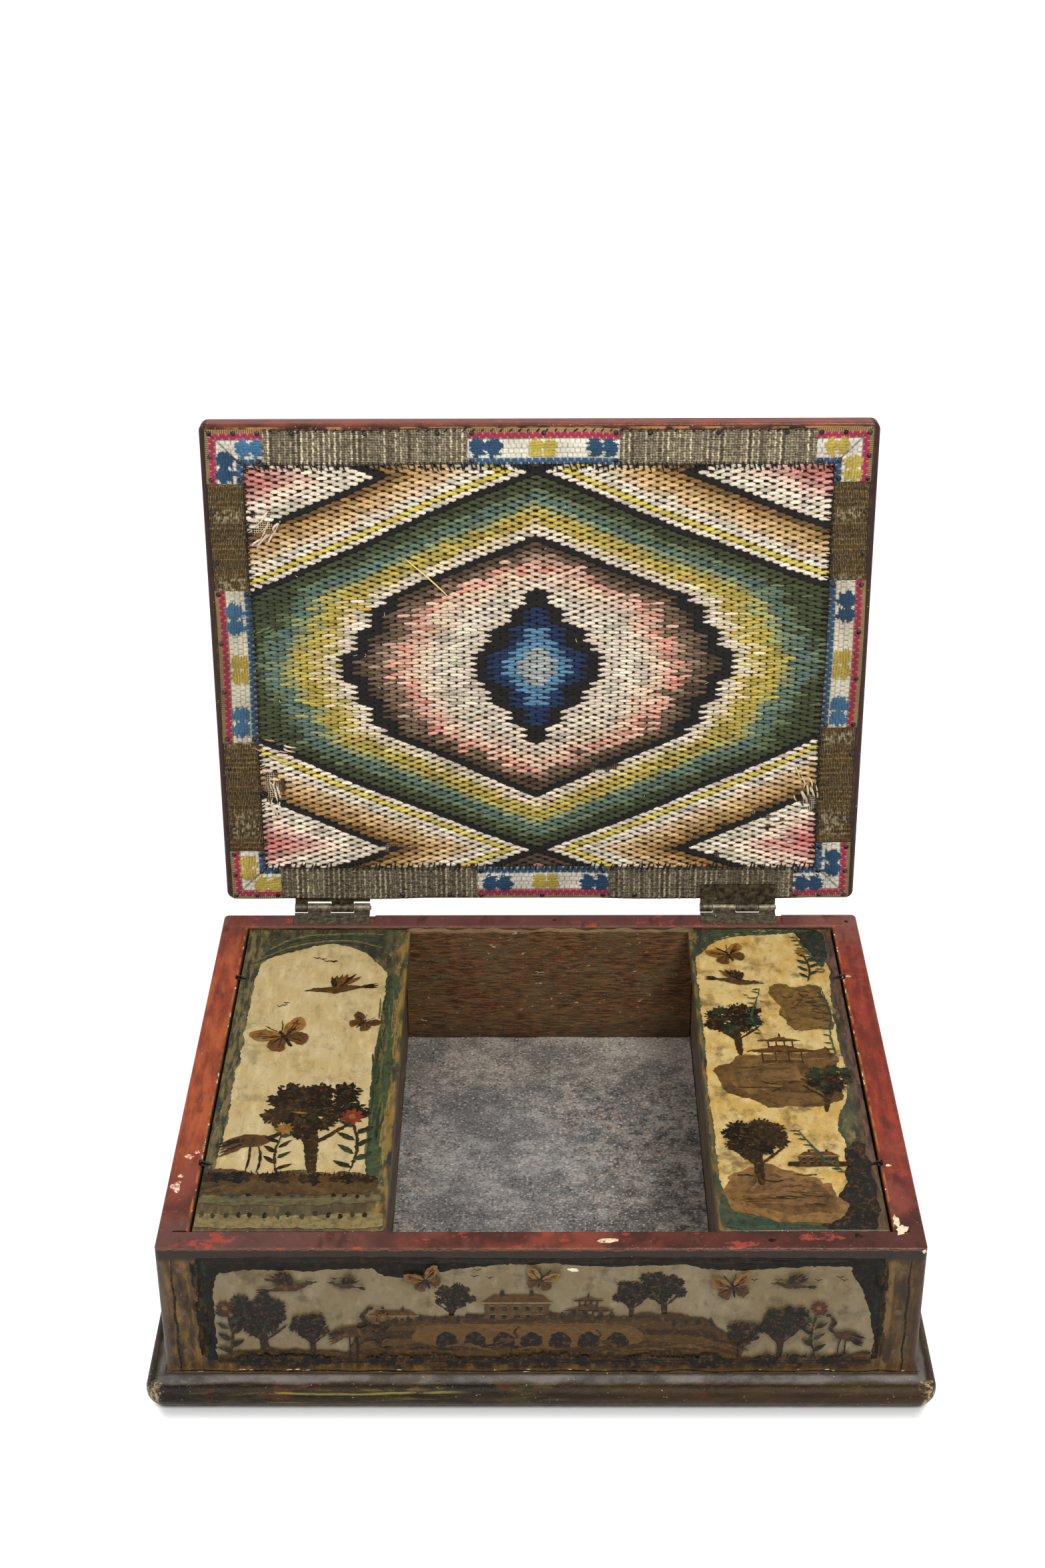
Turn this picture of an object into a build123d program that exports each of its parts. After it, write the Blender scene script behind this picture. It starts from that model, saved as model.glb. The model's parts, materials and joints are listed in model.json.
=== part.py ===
from build123d import *
import math
import os

# A lacquered wooden box with a hinged lid, shown open. Millimetres, +Z up, front at -Y, hinges at +Y.
# The origin is the middle of the footprint, on the surface that the box stands on.

# Carcass
box_width = 320.0
box_depth = 250.0
wall_height = 69.0
side_wall = 13.0
end_wall = 11.0
side_lap = 6.4  # the part of a side board that covers the ends of the front and back boards
corner_round = 2.5
rim_round = 1.2

# Base
bottom_thickness = 13.0
plinth_reach = 9.0
plinth_slope_reach = 5.0
plinth_slope_drop = 2.1
plinth_nose_height = 6.3
plinth_foot_setback = 4.0
lining_thickness = 0.4
lining_margin = 0.5

# Compartments
left_lid_inner_x = -65.0
right_lid_inner_x = 74.4
lid_overhang = 3.5  # past the partition, for a finger to lift by
partition_thickness = 6.5
partition_housing = 3.0
small_lid_thickness = 7.5
small_lid_drop = 1.0
small_lid_side_gap = 1.0
small_lid_end_gap = 1.2
small_lid_corner = 2.5
small_lid_round = 0.9

# Wire hinges of the compartment lids: two linked staples each
staple_y = 70.0
wire_diameter = 0.9
wire_play = 0.15
staple_drop = 0.4  # the pivot, below the rim
wall_eye_half = 1.2
wall_eye_bend = 0.65
wall_leg_angle = 50.0
wall_leg_length = 7.0
lid_leg_angle = 25.0
lid_leg_length = 10.0
notch_play = 0.3
lid_slot_length = 3.4
lid_slot_depth = 1.9

# Main lid
open_angle = 95.0
main_lid_width = 318.0
main_lid_thickness = 9.0
main_lid_corner = 4.0
main_lid_round = 1.6
lid_gap = 2.7  # from the rim to the wood of the closed lid

# Lining of the lid
canvas_thickness = 0.4
canvas_setback = 1.0
needlework_thickness = 2.0
trim_thickness = 0.9
trim_width = 17.5
trim_margin_side = 3.0
trim_margin_front = 2.5
trim_margin_back = 1.0
needlework_gap = 0.3

# Where the ribbons end, from the lid's middle line along X and from the lid's back edge along Y
top_ribbon = (-33.5, 37.8)
bottom_ribbon = (-31.7, 34.1)
left_ribbon = (87.7, 167.6)
right_ribbon = (95.0, 172.0)
corner_arm_front = 26.5
corner_arm_back_left = (25.0, 27.0)
corner_arm_back_right = (28.5, 31.0)

# Tacks
tack_head = 2.5
tack_dome = 0.8
tack_shank = 0.9
tack_length = 5.5
tack_inset = 2.0
tack_spacing = 28.0

# Butt hinges of the main lid
hinge_left_x = -105.4
hinge_right_x = 100.4
leaf_length = 38.0
leaf_reach = 13.2
leaf_thickness = 1.2
barrel_diameter = 4.6
pin_diameter = 2.0
pin_clearance = 0.05
pin_proud = 0.6
hinge_out = 4.2  # from the back wall's face to the pin
hinge_up = 1.3  # from the rim to the pin
knuckle_gap = 0.3
first_knuckle = 6.4
second_knuckle = 11.8
third_knuckle = 11.6
leaf_notch_play = 0.4
recess_play = 0.2
recess_overcut = 3.0

# Screws of the butt hinges
screw_reach = 8.2  # from the pin's line
screw_half_span = 11.2
screw_head = 6.0
screw_shank = 2.6
screw_length = 10.0
screw_cone = 1.7
screw_slot = 0.8
screw_slot_depth = 0.5
screw_seat_play = 0.05

# Nails
nail_shank = 1.8
nail_head = 3.2
nail_head_height = 0.8
wall_nail_length = 24.0
wall_nail_heights = (12.0, 34.0, 57.0)
base_nail_length = 32.0
base_nail_pitch = 90.0
plinth_nail_length = 12.0
plinth_nail_pitch = 100.0
plinth_nail_height = 6.0

# Places that follow from the sizes above
half_width = box_width / 2
half_depth = box_depth / 2
foot_z = bottom_thickness
rim_z = foot_z + wall_height
inner_x = half_width - side_wall
inner_y = half_depth - end_wall
small_lid_top = rim_z - small_lid_drop
small_lid_bottom = small_lid_top - small_lid_thickness
small_lid_outer_x = inner_x - small_lid_side_gap
small_lid_end_y = inner_y - small_lid_end_gap
left_partition_x = left_lid_inner_x - lid_overhang
right_partition_x = right_lid_inner_x + lid_overhang
hinge_y = half_depth + hinge_out
hinge_z = rim_z + hinge_up
lid_wood_z = rim_z + lid_gap
canvas_z = lid_wood_z - canvas_thickness
trim_face_z = canvas_z - trim_thickness
trim_outer_x = main_lid_width / 2 - trim_margin_side
trim_front_y = -half_depth + trim_margin_front
trim_back_y = half_depth - trim_margin_back
barrel_radius = barrel_diameter / 2
pin_radius = pin_diameter / 2
wire_radius = wire_diameter / 2
lid_eye_radius = wire_diameter + wire_play
pivot_z = rim_z - staple_drop
pivot_x = inner_x - small_lid_side_gap / 2


def block(x0, x1, y0, y1, z0, z1):
    """A box between two corners, given in any order."""
    middle = Pos((x0 + x1) / 2, (y0 + y1) / 2, (z0 + z1) / 2)
    return middle * Box(abs(x1 - x0), abs(y1 - y0), abs(z1 - z0))


def save(name, shape):
    """Writes one sub-part; a list is written as a group of separate solids."""
    if isinstance(shape, (list, tuple)):
        shape = Compound(children=list(shape))
    export_step(shape, f"parts/{name}.step")


def cut_all(shape, tools):
    """The shape without any of the tools."""
    tools = list(tools)
    return shape.cut(*tools) if tools else shape


# Nails and screws, each made once with its head's top at the origin and its shank down -Z


def nail(length):
    head = Pos(0, 0, -nail_head_height / 2) * Cylinder(nail_head / 2, nail_head_height)
    shank = Pos(0, 0, -length / 2) * Cylinder(nail_shank / 2, length)
    return head + shank


def screw_blank(play=0.0):
    """The screw without its slot, larger all round by play."""
    cone = Pos(0, 0, -screw_cone / 2) * Cone(screw_shank / 2 + play, screw_head / 2 + play, screw_cone)
    shank = Pos(0, 0, -screw_length / 2) * Cylinder(screw_shank / 2 + play, screw_length)
    return cone + shank


def screw(slot_angle):
    slot = Rot(0, 0, slot_angle) * block(
        -screw_head, screw_head, -screw_slot / 2, screw_slot / 2, -screw_slot_depth, screw_slot
    )
    return screw_blank() - slot


def wall_nail_places():
    """Nails through the front and back boards into the side boards."""
    x = half_width - (side_wall + side_lap) / 2
    for height in wall_nail_heights:
        for side in (-1, 1):
            yield Pos(side * x, -half_depth, foot_z + height) * Rot(90, 0, 0)
            yield Pos(side * x, half_depth, foot_z + height) * Rot(-90, 0, 0)


def spread(length, pitch):
    """Places centred on zero, no further apart than pitch, over a length."""
    count = max(2, math.ceil(length / pitch) + 1)
    step = length / (count - 1)
    return [-length / 2 + step * i for i in range(count)]


def base_nail_places():
    """Nails up through the bottom board into the walls."""
    for x in spread(2 * inner_x, base_nail_pitch):
        for side in (-1, 1):
            yield Pos(x, side * (half_depth - end_wall / 2), 0) * Rot(180, 0, 0)
    for y in spread(inner_y, base_nail_pitch):
        for side in (-1, 1):
            yield Pos(side * (half_width - side_wall / 2), y, 0) * Rot(180, 0, 0)


def plinth_nail_places():
    """Nails through the mouldings into the edges of the bottom board, with the side they belong to."""
    out = plinth_reach - nail_head_height
    for x in spread(box_width - 2 * side_wall, plinth_nail_pitch):
        yield "front", Pos(x, -half_depth - out, plinth_nail_height) * Rot(90, 0, 0)
        yield "back", Pos(x, half_depth + out, plinth_nail_height) * Rot(-90, 0, 0)
    for y in spread(box_depth - 2 * side_wall, plinth_nail_pitch):
        yield "left", Pos(-half_width - out, y, plinth_nail_height) * Rot(0, -90, 0)
        yield "right", Pos(half_width + out, y, plinth_nail_height) * Rot(0, 90, 0)


wall_nails = [place * nail(wall_nail_length) for place in wall_nail_places()]
base_nails = [place * nail(base_nail_length) for place in base_nail_places()]
plinth_nails = [(side, place * nail(plinth_nail_length)) for side, place in plinth_nail_places()]


# Wire hinges of the compartment lids


def staple_frame(side, y):
    """Puts a staple made at the left wall, at y = 0, in its place on the left (-1) or right (1) wall."""
    turn = 0 if side < 0 else 180
    return Pos(side * pivot_x, y, pivot_z) * Rot(0, 0, turn)


def wall_staple():
    """A staple whose eye lies along the crack; both legs are driven down into the wall."""
    angle = math.radians(wall_leg_angle)
    leg = Vector(-math.cos(angle), 0, -math.sin(angle)) * wall_leg_length
    near = Vector(0, -wall_eye_half, 0)
    far = Vector(0, wall_eye_half, 0)
    path = FilletPolyline(near + leg, near, far, far + leg, radius=wall_eye_bend)
    return sweep(Plane(origin=path @ 0, z_dir=path % 0) * Circle(wire_radius), path=path)


def lid_staple():
    """A staple that loops round the wall staple's eye; both legs are driven into the lid."""
    angle = math.radians(lid_leg_angle)
    along = Vector(math.cos(angle), 0, -math.sin(angle))
    across = Vector(math.sin(angle), 0, math.cos(angle)) * lid_eye_radius
    upper = Line(across + along * lid_leg_length, across)
    loop = ThreePointArc(across, along * -lid_eye_radius, across * -1)
    lower = Line(across * -1, across * -1 + along * lid_leg_length)
    path = Wire([upper, loop, lower])
    return sweep(Plane(origin=path @ 0, z_dir=path % 0) * Circle(wire_radius), path=path)


def wall_notch():
    """The room that the staples' eyes need in the wall's inner edge."""
    radius = lid_eye_radius + wire_radius + notch_play
    half = wall_eye_half + wire_radius + wire_play
    ring = Rot(90, 0, 0) * Cylinder(radius, 2 * half)
    return ring + block(-radius, 0, -half, half, 0, staple_drop + rim_round)


def lid_slot():
    """The slot in the lid's top edge that the lid staple lies in."""
    half = wire_radius + notch_play / 2
    top = staple_drop
    return block(0, small_lid_side_gap / 2 + lid_slot_length, -half, half, top, -lid_slot_depth - small_lid_drop)


staple_ys = (-staple_y, staple_y)
wall_staples = {side: [staple_frame(side, y) * wall_staple() for y in staple_ys] for side in (-1, 1)}
lid_staples = {side: [staple_frame(side, y) * lid_staple() for y in staple_ys] for side in (-1, 1)}


# Butt hinges of the main lid, made in the closed position


def screw_xs(hinge_x):
    return (hinge_x - screw_half_span, hinge_x + screw_half_span)


def box_screw_places(hinge_x):
    return [Pos(x, hinge_y - screw_reach, rim_z) for x in screw_xs(hinge_x)]


def lid_leaf_z(hinge_x):
    """The lid leaf's lower and upper faces: the right leaf lies on the trim, the left one is let into the wood."""
    if hinge_x > 0:
        return trim_face_z - leaf_thickness, trim_face_z
    return lid_wood_z, lid_wood_z + leaf_thickness


def lid_screw_places(hinge_x):
    low = lid_leaf_z(hinge_x)[0]
    return [Pos(x, hinge_y - screw_reach, low) * Rot(180, 0, 0) for x in screw_xs(hinge_x)]


def knuckles(hinge_x):
    """The stretches of the barrel, as (start, end, whose)."""
    start = hinge_x - leaf_length / 2
    ends = [start, start + first_knuckle]
    ends.append(ends[-1] + second_knuckle)
    ends.append(ends[-1] + third_knuckle)
    ends.append(start + leaf_length)
    owners = ("lid", "box", "lid", "box")
    half = knuckle_gap / 2
    out = []
    for i, owner in enumerate(owners):
        left = ends[i] + (half if i else 0)
        right = ends[i + 1] - (half if i < len(owners) - 1 else 0)
        out.append((left, right, owner))
    return out


def leaf(hinge_x, owner, low, high, screw_seats):
    """One leaf with its knuckles, cut for its screws."""
    start = hinge_x - leaf_length / 2
    barrel_edge = hinge_y - barrel_radius - leaf_notch_play
    plate = block(start, start + leaf_length, hinge_y - leaf_reach, barrel_edge, low, high)
    shape = plate
    for left, right, whose in knuckles(hinge_x):
        if whose != owner:
            continue
        barrel = Pos((left + right) / 2, hinge_y, hinge_z) * Rot(0, 90, 0) * Cylinder(barrel_radius, right - left)
        web_end = hinge_y - barrel_radius / 3
        shape = shape + barrel + block(left, right, barrel_edge, web_end, low, high)
    bore = Pos(hinge_x, hinge_y, hinge_z) * Rot(0, 90, 0) * Cylinder(pin_radius + pin_clearance, 2 * leaf_length)
    return cut_all(shape, [bore, *screw_seats])


def box_leaf(hinge_x):
    seats = [place * screw_blank(screw_seat_play) for place in box_screw_places(hinge_x)]
    return leaf(hinge_x, "box", rim_z - leaf_thickness, rim_z, seats)


def lid_leaf(hinge_x):
    low, high = lid_leaf_z(hinge_x)
    seats = [place * screw_blank(screw_seat_play) for place in lid_screw_places(hinge_x)]
    return leaf(hinge_x, "lid", low, high, seats)


def hinge_pin(hinge_x):
    length = leaf_length + pin_proud
    return Pos(hinge_x + pin_proud / 2, hinge_y, hinge_z) * Rot(0, 90, 0) * Cylinder(pin_radius, length)


def leaf_recess(hinge_x, low, high):
    """The place cut for a leaf, a little longer than the leaf on one side."""
    start = hinge_x - leaf_length / 2 - recess_play
    end = hinge_x + leaf_length / 2 + recess_overcut
    return block(start, end, hinge_y - leaf_reach - recess_play, half_depth + rim_round, low, high)


hinge_xs = (hinge_left_x, hinge_right_x)
box_screw_blanks = [place * screw_blank() for x in hinge_xs for place in box_screw_places(x)]
lid_screw_blanks = [place * screw_blank() for x in hinge_xs for place in lid_screw_places(x)]


# Carcass


def plinth_profile():
    """The moulding's section: X outwards from the wall's face, Y up; a sloped top runs into a rounded nose."""
    slope_end = (plinth_slope_reach, bottom_thickness - plinth_slope_drop)
    nose = (plinth_reach, plinth_nose_height)
    foot = (plinth_reach - plinth_foot_setback, 0)
    upper_mid = (
        slope_end[0] + (nose[0] - slope_end[0]) * math.sin(math.radians(48)),
        nose[1] + (slope_end[1] - nose[1]) * math.cos(math.radians(48)),
    )
    lower_mid = (
        foot[0] + (nose[0] - foot[0]) * math.sin(math.radians(50)),
        nose[1] * (1 - math.cos(math.radians(50))),
    )
    lines = [
        Line((0, 0), (0, bottom_thickness)),
        Line((0, bottom_thickness), slope_end),
        ThreePointArc(slope_end, upper_mid, nose),
        ThreePointArc(nose, lower_mid, foot),
        Line(foot, (0, 0)),
    ]
    return make_face(Wire(lines))


def plinth(length, middle, turn, nails):
    """A mitred moulding along one side, with half of each rounded corner."""
    section = Plane.XZ * plinth_profile()
    straight = Pos(0, length / 2, 0) * extrude(section, length)
    end = revolve(section, axis=Axis.Z, revolution_arc=45)
    start = revolve(section, axis=Axis.Z, revolution_arc=-45)
    shape = straight + Pos(0, length / 2, 0) * end + Pos(0, -length / 2, 0) * start
    return cut_all(middle * Rot(0, 0, turn) * shape, nails)


def plinths():
    sides = {
        "front": (box_width, Pos(0, -half_depth, 0), -90),
        "back": (box_width, Pos(0, half_depth, 0), 90),
        "left": (box_depth, Pos(-half_width, 0, 0), 180),
        "right": (box_depth, Pos(half_width, 0, 0), 0),
    }
    for name, (length, middle, turn) in sides.items():
        nails = [shape for side, shape in plinth_nails if side == name]
        yield name, plinth(length, middle, turn, nails)


def bottom_board():
    board = block(-half_width, half_width, -half_depth, half_depth, 0, bottom_thickness)
    return cut_all(board, base_nails + [shape for _, shape in plinth_nails])


def partition_box(inner_face_x, side):
    """A partition whose face towards the well is at inner_face_x; its ends are housed in the walls."""
    far = inner_face_x + side * partition_thickness
    end = inner_y + partition_housing
    return block(inner_face_x, far, -end, end, foot_z, small_lid_bottom)


def partitions():
    return partition_box(left_partition_x, -1), partition_box(right_partition_x, 1)


def end_board(side):
    """The front (-1) or back (1) board, with rounded top edges and a housing for each partition."""
    outer = side * half_depth
    inner = side * inner_y
    x = half_width - side_lap
    board = block(-x, x, outer, inner, foot_z, rim_z)
    top_edges = board.edges().filter_by(Axis.X).group_by(Axis.Z)[-1]
    board = fillet(top_edges, rim_round)
    tools = [*partitions(), *wall_nails, *base_nails]
    if side > 0:
        tools += [leaf_recess(x, rim_z - leaf_thickness, rim_z + rim_round) for x in hinge_xs]
        tools += box_screw_blanks
    return cut_all(board, tools)


def side_board(side):
    """A side board: rabbeted at both ends, rounded at its corners, notched for the wire hinges."""
    board = block(side * half_width, side * inner_x, -half_depth, half_depth, foot_z, rim_z)
    lap = half_width - side_lap
    for y in (-1, 1):
        board = board - block(side * lap, side * inner_x, y * half_depth, y * inner_y, foot_z, rim_z)
    uprights = board.edges().filter_by(Axis.Z)
    outer_corners = [e for e in uprights if abs(abs(e.center().X) - half_width) < 0.01]
    board = fillet(outer_corners, corner_round)
    top = board.edges().group_by(Axis.Z)[-1]
    rim = [
        e
        for e in top
        if abs(e.center().X) > half_width - corner_round
        or abs(abs(e.center().Y) - half_depth) < 0.01
        or abs(abs(e.center().X) - inner_x) < 0.01
    ]
    board = fillet(rim, rim_round)
    notches = [staple_frame(side, y) * wall_notch() for y in staple_ys]
    return cut_all(board, [*notches, *wall_staples[side], *wall_nails, *base_nails])


def well_lining():
    """The paper on the floor of the well."""
    left = left_partition_x + lining_margin
    right = right_partition_x - lining_margin
    y = inner_y - lining_margin
    return block(left, right, -y, y, foot_z, foot_z + lining_thickness)


def compartment_lid(side, inner_edge_x):
    """A lid over a side compartment, with its top edges and its two free corners rounded."""
    outer = side * small_lid_outer_x
    y = small_lid_end_y
    board = block(outer, inner_edge_x, -y, y, small_lid_bottom, small_lid_top)
    uprights = board.edges().filter_by(Axis.Z)
    free = [e for e in uprights if abs(e.center().X - inner_edge_x) < 0.01]
    board = fillet(free, small_lid_corner)
    board = fillet(board.edges().group_by(Axis.Z)[-1], small_lid_round)
    slots = [staple_frame(side, y) * lid_slot() for y in staple_ys]
    return cut_all(board, [*slots, *lid_staples[side]])


# Main lid, made closed and then swung open about the pins


def swung(shape):
    turn = Pos(0, hinge_y, hinge_z) * Rot(-open_angle, 0, 0) * Pos(0, -hinge_y, -hinge_z)
    if isinstance(shape, (list, tuple)):
        return [turn * s for s in shape]
    return turn * shape


def trim_frame():
    """Outer and inner limits of the trim: (outer x, inner x, front outer y, front inner y, back inner y, back y)."""
    return (
        trim_outer_x,
        trim_outer_x - trim_width,
        trim_front_y,
        trim_front_y + trim_width,
        trim_back_y - trim_width,
        trim_back_y,
    )


def back_edge_y(distance):
    """A place along the lid, measured from its back edge."""
    return half_depth - distance


def trim_strips():
    """The straight lengths of galloon and ribbon, as name to (x0, x1, y0, y1)."""
    ox, ix, fo, fi, bi, bo = trim_frame()
    front_arm = ox - corner_arm_front
    back_left_x = -ox + corner_arm_back_left[0]
    back_right_x = ox - corner_arm_back_right[0]
    arm_y = fo + corner_arm_front
    left_y = bo - corner_arm_back_left[1]
    right_y = bo - corner_arm_back_right[1]
    l0, l1 = back_edge_y(left_ribbon[1]), back_edge_y(left_ribbon[0])
    r0, r1 = back_edge_y(right_ribbon[1]), back_edge_y(right_ribbon[0])
    return {
        "galloon_top_left": (-front_arm, top_ribbon[0], fo, fi),
        "ribbon_top": (top_ribbon[0], top_ribbon[1], fo, fi),
        "galloon_top_right": (top_ribbon[1], front_arm, fo, fi),
        "galloon_left_upper": (-ox, -ix, arm_y, l0),
        "ribbon_left": (-ox, -ix, l0, l1),
        "galloon_left_lower": (-ox, -ix, l1, left_y),
        "galloon_right_upper": (ix, ox, arm_y, r0),
        "ribbon_right": (ix, ox, r0, r1),
        "galloon_right_lower": (ix, ox, r1, right_y),
        "galloon_bottom_left": (back_left_x, bottom_ribbon[0], bi, bo),
        "ribbon_bottom": (bottom_ribbon[0], bottom_ribbon[1], bi, bo),
        "galloon_bottom_right": (bottom_ribbon[1], back_right_x, bi, bo),
    }


def trim_corners():
    """The folded corner ribbons, as name to two (x0, x1, y0, y1) arms that share the corner."""
    ox, ix, fo, fi, bi, bo = trim_frame()
    arm = corner_arm_front
    left_x, left_y = corner_arm_back_left
    right_x, right_y = corner_arm_back_right
    return {
        "corner_ribbon_top_left": ((-ox, -ox + arm, fo, fi), (-ox, -ix, fo, fo + arm)),
        "corner_ribbon_top_right": ((ox - arm, ox, fo, fi), (ix, ox, fo, fo + arm)),
        "corner_ribbon_bottom_left": ((-ox, -ox + left_x, bi, bo), (-ox, -ix, bo - left_y, bo)),
        "corner_ribbon_bottom_right": ((ox - right_x, ox, bi, bo), (ix, ox, bo - right_y, bo)),
    }


def tack():
    """An iron tack: its domed head's flat side at z = 0, the shank up +Z."""
    radius = tack_head / 2
    ball = (radius**2 + tack_dome**2) / (2 * tack_dome)
    head = Pos(0, 0, ball - tack_dome) * Sphere(ball) - block(-ball, ball, -ball, ball, 0, 2 * ball)
    return head + Pos(0, 0, tack_length / 2) * Cylinder(tack_shank / 2, tack_length)


def row(start, end, count):
    """Evenly spaced places from start to end."""
    return [start + (end - start) * i / (count - 1) for i in range(count)]


def strip_places(name, x0, x1, y0, y1):
    """Tacks along a strip's outer edge, and at a ribbon's inner corners too."""
    along_x = x1 - x0 > y1 - y0
    start, end = (x0, x1) if along_x else (y0, y1)
    low, high = (y0, y1) if along_x else (x0, x1)
    outer, inner = (low, high) if abs(low) > abs(high) else (high, low)
    inward = math.copysign(tack_inset, inner - outer)
    is_ribbon = name.startswith("ribbon")
    inset = tack_inset if is_ribbon else tack_spacing / 2
    count = max(2, round((end - start - 2 * inset) / tack_spacing) + 1)
    places = [(along, outer + inward) for along in row(start + inset, end - inset, count)]
    if is_ribbon:
        places += [(along, inner - inward) for along in (start + inset, end - inset)]
    for along, across in places:
        yield (along, across) if along_x else (across, along)


def corner_places(name):
    """Tacks of a corner ribbon: along the outer edges, at the arms' ends and at the fold."""
    (x0, x1, y0, y1), (u0, u1, v0, v1) = trim_corners()[name]
    right, bottom = "right" in name, "bottom" in name
    corner_x = (x1 if right else x0) + (-tack_inset if right else tack_inset)
    corner_y = (y1 if bottom else y0) + (-tack_inset if bottom else tack_inset)
    fold_x = (u0 if right else u1) + (tack_inset if right else -tack_inset)
    fold_y = (y0 if bottom else y1) + (tack_inset if bottom else -tack_inset)
    end_x = (x0 if right else x1) + (tack_inset if right else -tack_inset)
    end_y = (v0 if bottom else v1) + (tack_inset if bottom else -tack_inset)
    yield corner_x, corner_y
    yield (corner_x + end_x) / 2, corner_y
    yield corner_x, (corner_y + end_y) / 2
    yield end_x, corner_y
    yield corner_x, end_y
    yield fold_x, fold_y
    yield end_x, fold_y
    yield fold_x, end_y


def clear_of_hinges(x, y):
    """True where a tack misses the leaf on the trim and, with the lid closed, the wire hinges."""
    near_leaf = abs(x - hinge_right_x) < leaf_length / 2 + tack_head and y > hinge_y - leaf_reach - tack_head
    near_hidden_leaf = abs(x - hinge_left_x) < leaf_length / 2 + tack_head and y > hinge_y - leaf_reach - tack_head
    room = wall_eye_half + wire_diameter + tack_head / 2
    near_wire = any(
        abs(abs(x) - pivot_x) < room + lid_slot_length and abs(y - wire_y) < room for wire_y in staple_ys
    )
    return not (near_leaf or near_hidden_leaf or near_wire)


def tack_places():
    for name, (x0, x1, y0, y1) in trim_strips().items():
        for x, y in strip_places(name, x0, x1, y0, y1):
            if clear_of_hinges(x, y):
                yield x, y
    for name in trim_corners():
        yield from corner_places(name)


tack_xys = list(tack_places())
tacks = [Pos(x, y, trim_face_z) * tack() for x, y in tack_xys]
tack_shanks = [
    Pos(x, y, trim_face_z + tack_length / 2) * Cylinder(tack_shank / 2, tack_length) for x, y in tack_xys
]


def within(shapes, x0, x1, y0, y1):
    """The shapes whose middle lies in a rectangle seen from above."""
    return [s for s in shapes if x0 < s.center().X < x1 and y0 < s.center().Y < y1]


def trim_piece(*rectangles):
    """A flat length of trim made of one or two rectangles, with holes for its tacks and screws."""
    shape = None
    tools = []
    for x0, x1, y0, y1 in rectangles:
        part = block(x0, x1, y0, y1, trim_face_z, canvas_z)
        shape = part if shape is None else shape + part
        tools += within(tack_shanks, x0, x1, y0, y1)
        if x0 < hinge_right_x < x1 and y1 > inner_y:
            tools += within(lid_screw_blanks, x0, x1, y0, y1)
    return cut_all(shape, tools)


def needlework_panel():
    """The stitched field and the canvas margin that runs under the trim."""
    ox, ix, fo, fi, bi, bo = trim_frame()
    margin = canvas_setback
    canvas = block(-ox + margin, ox - margin, fo + margin, bo - margin, canvas_z, lid_wood_z)
    gap = needlework_gap
    field = block(
        -ix + gap, ix - gap, fi + gap, bi - gap, lid_wood_z - needlework_thickness, lid_wood_z
    )
    return cut_all(canvas + field, tack_shanks + lid_screw_blanks)


def lid_board():
    x = main_lid_width / 2
    board = block(-x, x, -half_depth, half_depth, lid_wood_z, lid_wood_z + main_lid_thickness)
    board = fillet(board.edges().filter_by(Axis.Z), main_lid_corner)
    flats = board.edges().group_by(Axis.Z)
    board = fillet(list(flats[0]) + list(flats[-1]), main_lid_round)
    low, high = lid_leaf_z(hinge_left_x)
    recess = leaf_recess(hinge_left_x, low, high)
    return cut_all(board, [recess, *tack_shanks, *lid_screw_blanks])


def write_box():
    save("bottom_board", bottom_board())
    for name, shape in plinths():
        save(f"plinth_{name}", shape)
    save("front_wall", end_board(-1))
    save("back_wall", end_board(1))
    save("left_wall", side_board(-1))
    save("right_wall", side_board(1))
    left, right = partitions()
    save("left_partition", left)
    save("right_partition", right)
    save("well_lining", well_lining())
    save("wall_nails", wall_nails)
    save("base_nails", base_nails)
    save("plinth_nails", [shape for _, shape in plinth_nails])
    save("wall_staples", wall_staples[-1] + wall_staples[1])


def write_compartment_lids():
    save("left_compartment_lid", compartment_lid(-1, left_lid_inner_x))
    save("left_lid_staples", lid_staples[-1])
    save("right_compartment_lid", compartment_lid(1, right_lid_inner_x))
    save("right_lid_staples", lid_staples[1])


def write_hinges():
    for name, x in zip(("left", "right"), hinge_xs):
        save(f"box_leaf_{name}", box_leaf(x))
        save(f"lid_leaf_{name}", swung(lid_leaf(x)))
        save(f"hinge_pin_{name}", hinge_pin(x))
    box_slots = (20, 75, 90, 10)
    box_places = [place for x in hinge_xs for place in box_screw_places(x)]
    save("box_leaf_screws", [place * screw(turn) for place, turn in zip(box_places, box_slots)])
    lid_slots = (0, 60, 90, 35)
    lid_places = [place for x in hinge_xs for place in lid_screw_places(x)]
    save("lid_leaf_screws", swung([place * screw(turn) for place, turn in zip(lid_places, lid_slots)]))


def write_main_lid():
    save("lid_board", swung(lid_board()))
    save("needlework_panel", swung(needlework_panel()))
    for name, rectangle in trim_strips().items():
        save(name, swung(trim_piece(rectangle)))
    for name, arms in trim_corners().items():
        save(name, swung(trim_piece(*arms)))
    save("trim_tacks", swung(tacks))


os.makedirs("parts", exist_ok=True)
write_box()
write_compartment_lids()
write_hinges()
write_main_lid()
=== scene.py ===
"""An old lacquered box with its lid open: finishes, needlework, braids, figures, floor, light, camera."""

import functools
import json
import math

import bpy
import numpy as np
from mathutils import Matrix, Vector


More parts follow.
